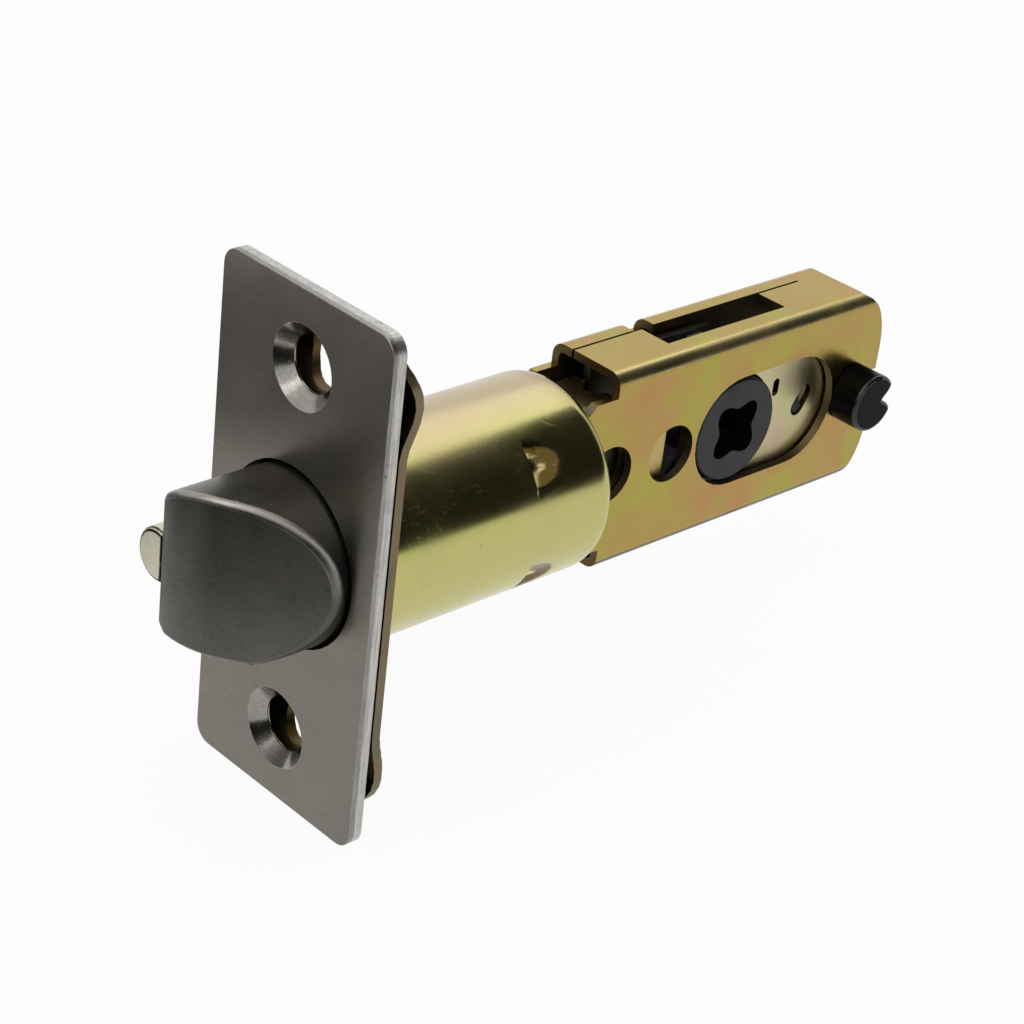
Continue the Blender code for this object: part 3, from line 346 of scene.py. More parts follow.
scratch_group, t, given, out = new_group(
    "Fine scratches",
    [("Vector", VECTOR, None), ("Size", FLOAT, 1.0), ("Turn", VECTOR, None), ("Share", FLOAT, 0.3)],
    [("Mask", FLOAT), ("Height", FLOAT)],
)
hairs = []
for number, (lean, stretch) in enumerate(SCRATCH_RUNS):
    leaned = t.add("ShaderNodeMapping", Vector=turned(t, given),
                   Rotation=(lean, lean * LEAN_OVER_Y, lean)).outputs[0]
    stretched = t.add("ShaderNodeMapping", Vector=leaned, Scale=(1.0, 1.0 / stretch, 1.0),
                      Location=(number * RUN_SHIFT[0], number * RUN_SHIFT[1], 0.0)).outputs[0]
    field = t.noise(stretched, t.math("DIVIDE", HAIRS, given["Size"]), 1.0, 0.4)
    hairs.append(t.span(field, *HAIR_EDGE))
strongest = t.math("MAXIMUM", t.math("MAXIMUM", hairs[0], hairs[1]), hairs[2])
patch_noise = t.noise(given["Vector"], t.math("DIVIDE", PATCHES, given["Size"]), 2.0)
in_patches = t.math("MULTIPLY", strongest, t.span(patch_noise, *PATCH_EDGE))
mask = t.math("MULTIPLY", in_patches, given["Share"])
t.feed(out["Mask"], mask)
t.feed(out["Height"], t.math("MULTIPLY", mask, -1.0))
print("Group:", scratch_group.name, "with", len(hairs), "runs of hairs")

# %% [markdown]
# ## Specks of dirt
# Dust and small dark stains sit on every metal that has lain in a box. Fine noise, cut off high,
# makes the specks, and a coarse one leaves some regions clean. The group gives a mask only; the
# material decides what colour the dirt has.

# %% Group: specks of dirt
SPECKS, SPECK_EDGE = 700.0, (0.6, 0.74)
STAINS, STAIN_EDGE = 180.0, (0.42, 0.62)

speck_group, t, given, out = new_group(
    "Specks",
    [("Vector", VECTOR, None), ("Size", FLOAT, 0.4), ("Share", FLOAT, 0.3)],
    [("Mask", FLOAT)],
)
fine = t.noise(given["Vector"], t.math("DIVIDE", SPECKS, given["Size"]), 3.0, 0.65)
coarse = t.noise(given["Vector"], STAINS, 2.0)
both = t.math("MULTIPLY", t.span(fine, *SPECK_EDGE), t.span(coarse, *STAIN_EDGE))
t.feed(out["Mask"], t.math("MULTIPLY", both, given["Share"]))
print("Group:", speck_group.name)

# %% [markdown]
# ## Rolled grain
# Strip steel and brushed faces carry a grain from the rollers. The group stretches one noise some
# thirty times along the grain and gives it twice, as a value for the colour and as a height for
# the bump.

# %% Group: rolled grain
GRAIN_STRETCH = (1.0, 0.03, 1.0)

grain_group, t, given, out = new_group(
    "Rolled grain",
    [("Vector", VECTOR, None), ("Size", FLOAT, 0.15), ("Turn", VECTOR, None)],
    [("Value", FLOAT), ("Height", FLOAT)],
)
stretched = t.add("ShaderNodeMapping", Vector=turned(t, given), Scale=GRAIN_STRETCH).outputs[0]
field = t.noise(stretched, t.math("DIVIDE", MM_PER_METRE, given["Size"]), 2.0, 0.55)
for label in ("Value", "Height"):
    t.feed(out[label], field)
print("Node groups:", [g.name for g in bpy.data.node_groups if g.type == "SHADER"])

# %% [markdown]
# ## One recipe for all metals
# All metals share one recipe: a film colour, scratches that are brighter and rougher, specks that
# darken, and a fine grain in the bump. Only the values differ, so one function lays out the tree
# and each finish gives its own. A tint lets the colour change along one direction of the piece; on
# the faceplate and the bolt it is painted light. The barrel has two more colours, read from marks on
# its points: a painted shade in its dimples and on its shoulder, and a painted highlight in its
# dimples.

# %% Metal recipe
ALONG_Y, ALONG_X, ALONG_Z = (0.0, 0.0, 0.0), (0.0, 0.0, math.pi / 2), (math.pi / 2, 0.0, 0.0)
SCRATCH_SIZE, GRAIN_SIZE = 0.7, 0.15
GRAIN_EDGE, CLOUD_EDGE = (0.3, 0.7), (0.3, 0.7)
SHADE_MARK_EDGE, HIGHLIGHT_MARK_EDGE = (0.0, 0.12), (0.4, 0.9)
DIRT_COLOUR, GRAIN_COLOUR = (0.02, 0.017, 0.01), (0.02, 0.02, 0.02)
ROUGH_SWING, ROUGH_BY_DIRT, ROUGH_BY_SCRATCH = 0.04, 0.25, 0.3
GRAIN_HEIGHT, BUMP_DEPTH = 0.5, 0.04 * MM


def scratch_colour(film):
    """Scratched film shows paler metal."""
    return tuple(min(1.0, 1.35 * value + 0.05) for value in film)


def metal(name, film, warm, green, rough, cloud=9.0, scratches=0.3, turn=ALONG_Y, specks=0.3,
          grain=0.0, bump=0.06, bright=None, metallic=1.0, gloss=0.5, speck_size=0.4,
          tint=None, dimple=None):
    """One finish. The tint is a share, a colour, a direction and a span in mm along it. The dimple
    has two colours of painted light: that of the painted shade and that of the painted highlight."""
    material, m = new_material(name)
    shader = m.tree.nodes["Principled BSDF"]
    where = m.add("ShaderNodeTexCoord").outputs["Object"]
    bloom = m.place(bloom_group, Vector=where, Size=cloud, Film=opaque(film), Warm=opaque(warm),
                    Green=opaque(green))
    marks = m.place(scratch_group, Vector=where, Size=SCRATCH_SIZE, Turn=turn, Share=scratches)
    dirt = m.place(speck_group, Vector=where, Size=speck_size, Share=specks)["Mask"]
    rolled = m.place(grain_group, Vector=where, Size=GRAIN_SIZE, Turn=turn)
    colour = bloom["Colour"]
    # The tint is the piece's own tone on the barrel and the sheared edge, and painted light on the
    # faceplate and the bolt.
    if tint:
        most, tint_colour, way, (start, end) = tint
        along = m.add("ShaderNodeVectorMath", {"operation": "DOT_PRODUCT"})
        m.feed_all(along, (where, way))
        share = m.span(along.outputs["Value"], start * MM, end * MM, 0.0, most)
        colour = m.mix(share, colour, opaque(tint_colour))
    if dimple:
        # The dimple colours are painted shade and painted highlight, read from two marks on the
        # points.
        marked = zip(("pressed", "rubbed"), (SHADE_MARK_EDGE, HIGHLIGHT_MARK_EDGE), dimple)
        for label, edge, mark_colour in marked:
            mark = m.add("ShaderNodeAttribute", {"attribute_name": label}).outputs["Fac"]
            colour = m.mix(m.span(mark, *edge), colour, opaque(mark_colour))
    colour = m.mix(marks["Mask"], colour, opaque(bright or scratch_colour(film)))
    colour = m.mix(m.span(rolled["Value"], *GRAIN_EDGE, 0.0, grain), colour, opaque(GRAIN_COLOUR))
    m.feed(shader.inputs["Base Color"], m.mix(dirt, colour, opaque(DIRT_COLOUR)))
    uneven = m.span(bloom["Cloud"], *CLOUD_EDGE, rough - ROUGH_SWING, rough + ROUGH_SWING)
    worn = m.math("ADD", m.math("MULTIPLY", dirt, ROUGH_BY_DIRT),
                  m.math("MULTIPLY", marks["Mask"], ROUGH_BY_SCRATCH))
    m.feed(shader.inputs["Roughness"], m.math("ADD", uneven, worn))
    shader.inputs["Metallic"].default_value = metallic
    shader.inputs["Specular IOR Level"].default_value = gloss
    relief = m.math("ADD", m.math("MULTIPLY", rolled["Height"], GRAIN_HEIGHT), marks["Height"])
    raised = m.add("ShaderNodeBump", Strength=bump, Distance=BUMP_DEPTH, Height=relief)
    m.feed(shader.inputs["Normal"], raised.outputs[0])
    return material


print("The recipe has", len(bpy.data.node_groups), "shared effects")

# %% [markdown]
# ## Zinc finishes
# The barrel is bright and greenish, with a tan tint over the top of its far side. The case is a
# darker tan with pink and green clouds, and a paler zinc on its folds is a painted highlight. Faces
# inside and in shade take a darker zinc as painted shade. Cut edges are dull and specked, because
# the steel shows through thin zinc there, and their finish is also painted as shade on the bottom
# fold of the case.

# %% Zinc finishes
# The barrel's dimple colours are painted light: the dark one is painted shade in the dimples and on
# the shoulder, the bright one a painted highlight in the dimples.
tube_zinc = metal(
    "Yellow zinc tube", (0.50, 0.466, 0.175), (0.515, 0.448, 0.195), (0.47, 0.47, 0.155),
    rough=0.21, cloud=12.0, scratches=0.24, specks=0.2, bright=(0.60, 0.58, 0.34),
    tint=(0.8, (0.50, 0.39, 0.26), (-0.6, 0.0, 0.8), (3.5, 9.5)),
    dimple=((0.115, 0.080, 0.022), (0.90, 0.74, 0.36)))
case_zinc = metal(
    "Tan zinc case", (0.40, 0.285, 0.078), (0.44, 0.240, 0.088), (0.37, 0.33, 0.066),
    rough=0.25, scratches=0.01, specks=0.12, bump=0.02)
# A paler zinc, painted on the folds and the front lip of the case as a painted highlight.
fold_highlight_zinc = metal(
    "Zinc fold with painted highlight", (0.56, 0.46, 0.21), (0.58, 0.43, 0.20), (0.50, 0.46, 0.19),
    rough=0.33, cloud=6.0, scratches=0.1, specks=0.1, bump=0.03)
# A darker zinc, painted as shade on inner and hidden faces.
shade_zinc = metal(
    "Zinc in painted shade", (0.110, 0.077, 0.034), (0.125, 0.076, 0.038), (0.090, 0.080, 0.030),
    rough=0.42, cloud=6.0, scratches=0.1, bump=0.03)
channel_zinc = metal(
    "Cream zinc channel", (0.50, 0.38, 0.16), (0.52, 0.34, 0.15), (0.45, 0.40, 0.13),
    rough=0.30, cloud=6.0, scratches=0.2)
sheet_zinc = metal(
    "Pale zinc sheet", (0.50, 0.45, 0.30), (0.50, 0.40, 0.26), (0.46, 0.46, 0.27),
    rough=0.36, cloud=7.0, scratches=0.2, turn=ALONG_Z)
# The dull cut edge; the same finish is painted as shade on the bottom fold and in the holes of the
# case.
edge_and_shade_zinc = metal(
    "Cut zinc edge and painted shade", (0.19, 0.150, 0.090), (0.20, 0.145, 0.090), (0.15, 0.14, 0.085),
    rough=0.40, cloud=5.0, scratches=0.2, turn=ALONG_Z, specks=0.6)
seat_zinc = metal(
    "Zinc seat disc", (0.45, 0.40, 0.22), (0.46, 0.37, 0.2), (0.42, 0.41, 0.2),
    rough=0.36, cloud=5.0)
carriage_zinc = metal(
    "Carriage zinc", (0.52, 0.46, 0.27), (0.52, 0.40, 0.27), (0.44, 0.46, 0.20),
    rough=0.33, cloud=7.0)
print("Finishes so far:", len(bpy.data.materials))

# %% [markdown]
# ## Steel finishes
# The faceplate is etched grey strip with a grain across it, and its face is painted lighter towards
# the top as painted light. Its sheared edge and turned screw sinks are bare and brighter. The bolt
# is a dark casting, painted paler towards the bottom as painted light, and its fillet is paler as a
# painted highlight, with painted shade on its lower part. The plunger is pale steel, and its rim is
# painted dark as painted shade.

# %% Steel finishes
# The faceplate's face is painted lighter towards the top, as painted light.
face_steel = metal(
    "Etched face steel", (0.204, 0.184, 0.157), (0.216, 0.187, 0.155), (0.188, 0.180, 0.155),
    rough=0.30, cloud=12.0, scratches=0.14, turn=ALONG_X, grain=0.14,
    tint=(0.6, (0.27, 0.245, 0.212), (0.0, 0.0, 1.0), (6.0, 24.0)))
worn_steel = metal(
    "Sheared steel edge", (0.58, 0.565, 0.54), (0.62, 0.59, 0.54), (0.50, 0.50, 0.49),
    rough=0.40, cloud=2.2, turn=ALONG_Z, specks=0.9, speck_size=0.6, grain=0.35, bump=0.2,
    tint=(0.75, (0.24, 0.235, 0.23), (0.0, -1.0, 0.0), (-0.75, -0.5)))
sink_steel = metal(
    "Turned countersink", (0.33, 0.315, 0.285), (0.35, 0.315, 0.28), (0.30, 0.30, 0.28),
    rough=0.20, cloud=3.0, turn=ALONG_X, grain=0.25, bump=0.15)
# The bolt is painted paler towards the bottom, as painted light.
bolt_steel = metal(
    "Dark cast bolt", (0.108, 0.104, 0.092), (0.116, 0.106, 0.093), (0.098, 0.099, 0.090),
    rough=0.36, cloud=4.0, scratches=0.08, turn=ALONG_X, specks=0.5, grain=0.22, bump=0.4,
    tint=(0.8, (0.150, 0.143, 0.128), (0.0, 0.0, -1.0), (-1.0, 8.0)))
# The bolt's fillet is paler as a painted highlight, and tinted dark on its lower part as painted
# shade.
bolt_fillet_light = metal(
    "Bolt fillet with painted light", (0.29, 0.275, 0.25), (0.30, 0.275, 0.25), (0.25, 0.25, 0.235),
    rough=0.33, cloud=3.0, scratches=0.2,
    tint=(0.92, (0.085, 0.082, 0.075), (-0.3, 0.0, -1.0), (-6.0, -1.5)))
bar_steel = metal(
    "Bar steel", (0.17, 0.165, 0.155), (0.18, 0.165, 0.15), (0.15, 0.15, 0.145),
    rough=0.40, cloud=6.0)
pin_steel = metal(
    "Pin steel", (0.50, 0.48, 0.44), (0.48, 0.45, 0.40), (0.45, 0.45, 0.43),
    rough=0.30, cloud=4.0)
spring_wire = metal(
    "Spring wire", (0.36, 0.35, 0.33), (0.35, 0.33, 0.30), (0.33, 0.33, 0.32),
    rough=0.28, cloud=4.0)
plunger_steel = metal(
    "Plunger steel", (0.66, 0.62, 0.49), (0.66, 0.59, 0.46), (0.60, 0.60, 0.48),
    rough=0.42, cloud=3.0, scratches=0.1, specks=0.8, speck_size=0.3)
# The plunger's rim is painted dark, as painted shade.
plunger_rim_shade = metal(
    "Plunger rim in painted shade", (0.05, 0.045, 0.035), (0.2, 0.18, 0.14), (0.04, 0.04, 0.03),
    rough=0.4, cloud=1.0, specks=0.8, speck_size=0.3)
print("Finishes so far:", len(bpy.data.materials))

# %% [markdown]
# ## Hub and knob finishes
# The hub is blackened steel with a dull film. The knob of the adjuster is black plastic, so it is
# not metallic at all, and only its rubbed rim catches some light. Both finishes are also painted as
# shade: the plastic on the walls of the hub's star hole, the hub's on the middle carriage pin.

# %% Hub and knob finishes
dark_hub_and_shade = metal(
    "Dark hub and painted shade", (0.040, 0.040, 0.043), (0.045, 0.042, 0.042), (0.036, 0.036, 0.039),
    rough=0.5, cloud=3.0, scratches=0.15, bump=0.3, metallic=0.8)
black_plastic_and_shade = metal(
    "Black plastic", (0.003, 0.003, 0.0035), (0.004, 0.0036, 0.0036), (0.0028, 0.0028, 0.003),
    rough=0.28, cloud=2.0, scratches=0.04, specks=0.1, bump=0.2,
    bright=(0.015, 0.015, 0.016), metallic=0.0, gloss=0.05)
plastic_edge = metal(
    "Rubbed plastic edge", (0.004, 0.004, 0.0045), (0.005, 0.0045, 0.0045), (0.004, 0.004, 0.004),
    rough=0.24, cloud=2.0, scratches=0.04, specks=0.1, bump=0.2,
    bright=(0.02, 0.02, 0.021), metallic=0.0, gloss=0.45)
print("Finishes:", len(bpy.data.materials))

# %% [markdown]
# ## Sheet and turned solids with real edges
# Stamped sheet never has knife edges. The CAD solids have the right shape but loose triangles, so
# each piece starts as a merged copy, and a Bevel modifier rolls every sharp edge by a tenth of a
# millimetre or so. A Weighted Normal modifier then keeps the flat faces flat in the reflections.
# Where the real edge is much rounder, a rule picks it and it gets a wide fillet first.

# %% Dressing a CAD solid
BODY_OF = {node: body for body, members in frame["record"]["behaviour"]["bodies"].items()
           for node in members}
FLAT_ANGLE = math.radians(0.4)
FILLET_ANGLE, FILLET_STEPS = 0.35, 5
EDGE_ANGLE, EDGE_STEPS = math.radians(34.0), 2
SMOOTH_DEGREES = 38.0
SLIVER = 0.004 * MM
FLAT_WEIGHT = 100


def merged_mesh(node, fillet, fillet_rule, join):
    """A copy of a CAD solid's mesh with its triangles joined, its flat faces whole and, where the
    rule picks an edge, a wide fillet along it. It is written anew, so that no old normals stay."""
    body = bmesh.new()
    body.from_mesh(frame["nodes"][node].data)
    bmesh.ops.remove_doubles(body, verts=body.verts, dist=join)
    bmesh.ops.dissolve_limit(body, angle_limit=FLAT_ANGLE, verts=body.verts, edges=body.edges)
    if fillet:
        picked = [edge for edge in body.edges
                  if len(edge.link_faces) == 2 and edge.calc_face_angle() > FILLET_ANGLE
                  and fillet_rule(*[face.normal for face in edge.link_faces])]
        rounded = bmesh.ops.bevel(body, geom=picked, offset=fillet, segments=FILLET_STEPS,
                                  profile=0.5, affect="EDGES", clamp_overlap=False)
        for face in rounded["faces"]:
            face.material_index = 1
    body.verts.index_update()
    mesh = bpy.data.meshes.new(node)
    mesh.from_pydata([vert.co[:] for vert in body.verts], [],
                     [[vert.index for vert in face.verts] for face in body.faces])
    if fillet:
        mesh.polygons.foreach_set("material_index", [face.material_index for face in body.faces])
    body.free()
    return mesh


def plain_mesh(piece):
    """Turns the piece and its modifiers into one plain mesh."""
    graph = bpy.context.evaluated_depsgraph_get()
    piece.data = bpy.data.meshes.new_from_object(piece.evaluated_get(graph))
    piece.modifiers.clear()
    return piece.data


def work_on(mesh, operation, part, **values):
    """Runs one bmesh operation on all edges or all faces of a mesh."""
    body = bmesh.new()
    body.from_mesh(mesh)
    operation(body, **{part: getattr(body, part)}, **values)
    body.to_mesh(mesh)
    body.free()


def settle(piece, smooth_degrees=SMOOTH_DEGREES, clean=False):
    """Makes the piece one plain mesh with its smooth and its sharp edges set."""
    mesh = plain_mesh(piece)
    if clean:
        work_on(mesh, bmesh.ops.dissolve_degenerate, "edges", dist=SLIVER)
    mesh.shade_smooth()
    mesh.set_sharp_from_angle(angle=math.radians(smooth_degrees))
    return piece


def flat_normals(piece):
    weighted = piece.modifiers.new("Flat faces", "WEIGHTED_NORMAL")
    weighted.keep_sharp = True
    weighted.weight = FLAT_WEIGHT
    plain_mesh(piece)
    return piece


def seat_piece(piece, node):
    """The piece stands for its CAD node and rides on that node's body."""
    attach(piece, BODY_OF[node])
    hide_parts(node)
    return piece


def new_piece(name, mesh, *materials):
    piece = bpy.data.objects.new(name, mesh)
    bpy.context.scene.collection.objects.link(piece)
    for material in materials:
        mesh.materials.append(material)
    return piece


def dress(node, edge, material, edge_material=None, fillet=0.0, fillet_rule=None, join=0.001):
    """One CAD solid dressed, all sizes in mm. Slivers are cleaned only where no fillet was laid,
    because beside a fillet they can hold a flat face together."""
    mesh = merged_mesh(node, fillet * MM, fillet_rule, join * MM)
    materials = (material, edge_material) if edge_material else (material,)
    piece = new_piece(f"{node}_finished", mesh, *materials)
    bevel = piece.modifiers.new("Rolled edges", "BEVEL")
    bevel.width = edge * MM
    bevel.segments = EDGE_STEPS
    bevel.limit_method = "ANGLE"
    bevel.angle_limit = EDGE_ANGLE
    bevel.use_clamp_overlap = True
    bevel.material = 1 if edge_material else -1
    return seat_piece(flat_normals(settle(piece, clean=not fillet)), node)


def repaint(piece, material, rule):
    """Gives the material to each face that the rule picks. The rule gets the middle of the face in
    mm and its direction, in which 1 is straight along an axis and 0 is square to it."""
    piece.data.materials.append(material)
    number = len(piece.data.materials) - 1
    for face in piece.data.polygons:
        if rule(face.center / MM, face.normal):
            face.material_index = number


print("Bodies:", sorted(set(BODY_OF.values())))

# %% [markdown]
# ## Faceplate and backing plate
# The faceplate is cut from etched strip on a press: its flat face is grey, the rim is sheared bright
# and both screw holes are sunk with a turning tool. The zinc backing plate behind it is pressed in
# at the screws. A face that does not look to the front belongs to a rim or a hole, and its distance
# from the nearest screw tells which.

# %% Faceplate and backing plate
SCREW_HEIGHT = 20.55
SINK_REACH, RIM_START = 5.0, 6.0
FLAT_FACE, FLAT_SHEET, FRONT_SIDE = 0.95, 0.6, -0.3


def near_screw(at, radius):
    return math.hypot(at.x, abs(at.z) - SCREW_HEIGHT) < radius


def in_the_shade(at, way):
    """The front of the backing plate and its screw holes, which lie behind the faceplate."""
    return way.y < FRONT_SIDE or (abs(way.y) < FLAT_SHEET and near_screw(at, SINK_REACH))


faceplate = dress("faceplate", 0.12, face_steel, worn_steel)
repaint(faceplate, worn_steel,
        lambda at, way: abs(way.y) < FLAT_FACE and not near_screw(at, RIM_START))
repaint(faceplate, sink_steel,
        lambda at, way: abs(way.y) < FLAT_FACE and near_screw(at, SINK_REACH))
backing = dress("backing_plate", 0.12, sheet_zinc)
repaint(backing, edge_and_shade_zinc,
        lambda at, way: abs(way.y) < FLAT_SHEET and not near_screw(at, SINK_REACH))
# The front of the backing plate and its screw holes take the darker zinc as painted shade.
repaint(backing, shade_zinc, in_the_shade)

# %% [markdown]
# ## Folded case
# The case is one blank of zinc sheet folded round, with its seam on the top. Its inside and the
# faces that look to the front take a darker zinc as painted shade, and the folds along the top and
# the lip by the barrel take a paler zinc as a painted highlight. The walls of the holes show the
# dull cut edge, which also stands for the shade in them, and the bottom fold takes that finish as
# painted shade. Each rule picks its faces by where they are and which way they look, so no face has
# to be named.

# %% Folded case
WALL_DEPTH, LOOKS_INWARD = 0.85, 0.3
SIDE_START, TOP_START = 2.0, 8.0
FOLD_HEIGHT = 1.6
LIP_LENGTH, LIP_LOW, LIP_HIGH = 6.0, 3.0, 1.5
HOLES_HIGH, HOLES_FRONT, HOLES_REAR = 9.0, 2.0, 3.0
case = dress("outer_case", 0.14, case_zinc)
case_low, case_high = (Vector(corner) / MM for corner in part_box("outer_case"))


def inner_wall(at, way, outer, nearest):
    """True, along one axis, under the outer skin on a face that looks to the middle."""
    return nearest < abs(at) < outer - WALL_DEPTH and way * at < -LOOKS_INWARD * abs(at)


def faces_inside(at, way):
    """True on the inner wall of the folded case and on nothing that shows from outside."""
    return (inner_wall(at.x, way.x, case_high.x, SIDE_START)
            or inner_wall(at.z, way.z, case_high.z, TOP_START))


def on_top_fold(at, way):
    slanting = 0.25 < abs(way.z) < 0.985 and abs(way.x) > 0.15
    return slanting and not faces_inside(at, way) and at.z > case_high.z - FOLD_HEIGHT


def on_front_lip(at, way):
    low_enough = LIP_LOW < at.z < case_high.z - LIP_HIGH
    return way.z > 0.9 and low_enough and at.y < case_low.y + LIP_LENGTH


def on_bottom_fold(at, way):
    return way.z < -0.2 and at.z < case_low.z + FOLD_HEIGHT


def on_hole_wall(at, way):
    between = case_low.y + HOLES_FRONT < at.y < case_high.y - HOLES_REAR
    return abs(way.x) < 0.3 and abs(at.z) < HOLES_HIGH and between


# Painted shade: the inside of the case and its faces that look to the front take the darker zinc.
repaint(case, shade_zinc, faces_inside)
repaint(case, shade_zinc, lambda at, way: way.y < -0.8)
# Painted highlight: the top folds and the front lip take the paler zinc.
repaint(case, fold_highlight_zinc, on_top_fold)
repaint(case, fold_highlight_zinc, on_front_lip)
# Painted shade on the bottom fold, in the cut-edge finish; the hole walls are cut edges, darkened as
# painted shade too.
repaint(case, edge_and_shade_zinc, on_bottom_fold)
repaint(case, edge_and_shade_zinc, on_hole_wall)

# %% [markdown]
# ## Sheet inside the case
# A folded channel joins the barrel to the case, and two pierced plates carry the hub. Their faces
# that look inwards take a darker zinc as painted shade, so only their outer sides are bright. The
# seat, the drawbar, the straps and the bars are hidden in the rest pose, but they show when the
# latch moves, so they get the same care for their edges.

# %% Sheet inside the case
LOOKS_OUTWARD = 0.5
CHANNEL_INNER_HEIGHT = 7.0


def looks_away(at, way):
    """True unless the face looks straight out to its own side of the latch."""
    return way.x * at.x < LOOKS_OUTWARD * abs(at.x)


channel = dress("inner_frame", 0.10, channel_zinc)
# Faces that look inwards take the darker zinc as painted shade.
repaint(channel, shade_zinc,
        lambda at, way: looks_away(at, way) and abs(at.z) < CHANNEL_INNER_HEIGHT)
for node in ("carriage_plate_near", "carriage_plate_far"):
    repaint(dress(node, 0.10, carriage_zinc), shade_zinc, looks_away)
dress("spring_seat", 0.10, seat_zinc)
for node, edge in (("drawbar", 0.10), ("deadlatch_bar", 0.08), ("yoke_strap_near", 0.10),
                   ("yoke_strap_far", 0.10), ("yoke_bar_top", 0.08), ("yoke_bar_bottom", 0.08)):
    dress(node, edge, bar_steel)

# %% [markdown]
# ## Bolt and plunger
# The bolt is a die casting: its slanting face runs into the round nose with a soft fillet, while all
# its other edges are nearly sharp. The rule compares the two faces at an edge, and picks the edge
# when only one of them is the slanting face. The fillet takes a paler finish as a painted highlight,
# darkened on its lower part as painted shade. The deadlatch plunger is a turned pin whose rim is
# painted dark as painted shade.

# %% Bolt and plunger
FLAT_SIDE = -0.98


def on_the_bevel(way):
    return way.y < -0.25 and abs(way.z) < 0.03


def round_the_bevel(first, second):
    """Picks the edges between the bolt's slanting face and the round of the nose."""
    return on_the_bevel(first) != on_the_bevel(second) and min(first.x, second.x) > FLAT_SIDE


dress("latch_bolt", 0.12, bolt_steel, bolt_fillet_light, fillet=0.65, fillet_rule=round_the_bevel)
dress("deadlatch_plunger", 0.15, plunger_steel, plunger_rim_shade)

# %% [markdown]
# ## Hub, knob and pins
# The hub is turned and blackened, and the walls of its star hole take the darkest finish as painted
# shade, because hardly any light gets in. The plastic knob was moulded, so the rim of its face is
# round. Its solid has a tiny chamfer there: a wider join distance closes it before the fillet is
# laid. The pins are plain turned steel, except the middle one, which is seen through an oval hole of
# the carriage and takes the dark hub finish as painted shade.

# %% Hub, knob and pins
HUB_Y, STAR_REACH = 60.0, 4.1


def round_the_rim(first, second):
    """Picks the edges between the face of the knob and its sides."""
    return max(first.x, second.x) > 0.9 and min(first.x, second.x) < 0.3


hub = dress("hub", 0.15, dark_hub_and_shade)
# The star hole's walls take the black finish as painted shade.
repaint(hub, black_plastic_and_shade,
        lambda at, way: math.hypot(at.y - HUB_Y, at.z) < STAR_REACH and abs(way.x) < 0.7)
dress("adjuster_knob", 0.10, black_plastic_and_shade, plastic_edge, fillet=0.42, fillet_rule=round_the_rim,
      join=0.05)
for node in ("drawbar_pin", "carriage_pin_top", "carriage_pin_bottom"):
    dress(node, 0.08, pin_steel)
# The middle pin takes the dark hub finish as painted shade.
dress("carriage_pin_middle", 0.08, dark_hub_and_shade)

# %% [markdown]
# ## Lathe tree
# The barrel is a drawn tube with a rolled rear shoulder: one profile swept round the axis. That is a
# rule, so Geometry Nodes do it. The piece's own mesh holds only the profile as a row of points, and
# the tree lays a grid, bends each row of it round the axis and sews the last row to the first.

# %% Lathe tree
SHAPE, INT, STUFF = "NodeSocketGeometry", "NodeSocketInt", "NodeSocketMaterial"
SEW_DISTANCE = 0.002 * MM


def geometry_tree(name, inputs):
    """An empty Geometry Nodes tree with named inputs, and its helper, input and output sockets."""
    return new_group(name, [("Geometry", SHAPE, None), *inputs], [("Geometry", SHAPE)],
                     kind="GeometryNodeTree")


def finish_tree(t, given, out, shape):
    """Makes the shape real and gives it the material."""
    real = t.add("GeometryNodeRealizeInstances", Geometry=shape).outputs[0]
    painted = t.add("GeometryNodeSetMaterial", Geometry=real, Material=given["Material"])
    t.feed(out["Geometry"], painted.outputs[0])


lathe_tree, t, given, out = geometry_tree("Lathe", [("Steps", INT, 96), ("Material", STUFF, None)])
profile_size = t.add("GeometryNodeAttributeDomainSize", {"component": "MESH"},
                     Geometry=given["Geometry"]).outputs["Point Count"]
grid = t.add("GeometryNodeMeshGrid", Vertices_X=t.math("ADD", given["Steps"], 1.0),
             Vertices_Y=profile_size)
number = t.add("GeometryNodeInputIndex").outputs[0]
row = t.math("FLOOR", t.math("DIVIDE", t.math("ADD", number, 0.5), profile_size))
column = t.math("SUBTRACT", number, t.math("MULTIPLY", row, profile_size))
picked = t.add("GeometryNodeSampleIndex", {"data_type": "FLOAT_VECTOR", "domain": "POINT"},
               Geometry=given["Geometry"], Index=column,
               Value=t.add("GeometryNodeInputPosition").outputs[0])
place = t.add("ShaderNodeSeparateXYZ", Vector=picked.outputs[0]).outputs
angle = t.math("MULTIPLY", t.math("DIVIDE", row, given["Steps"]), 2 * math.pi)
bent = t.add("ShaderNodeCombineXYZ", X=t.math("MULTIPLY", place["X"], t.math("COSINE", angle)),
             Y=place["Y"], Z=t.math("MULTIPLY", place["X"], t.math("SINE", angle))).outputs[0]
turned_grid = t.add("GeometryNodeSetPosition", Geometry=grid.outputs["Mesh"],
                    Position=bent).outputs[0]
sewn = t.add("GeometryNodeMergeByDistance", Geometry=turned_grid, Distance=SEW_DISTANCE).outputs[0]
finish_tree(t, given, out, sewn)


def grow(name, points, tree, **values):
    """A piece whose mesh is made by a Geometry Nodes tree from a row of points."""
    mesh = bpy.data.meshes.new(name)
    mesh.from_pydata([Vector(point) for point in points], [], [])
    piece = new_piece(name, mesh)
    modifier = piece.modifiers.new(tree.name, "NODES")
    modifier.node_group = tree
    sockets = {item.name: item.identifier for item in tree.interface.items_tree
               if item.in_out == "INPUT"}
    for label, value in values.items():
        modifier[sockets[label.replace("_", " ")]] = value
    work_on(plain_mesh(piece), bmesh.ops.recalc_face_normals, "faces")
    return piece


print("Lathe tree:", len(lathe_tree.nodes), "nodes")

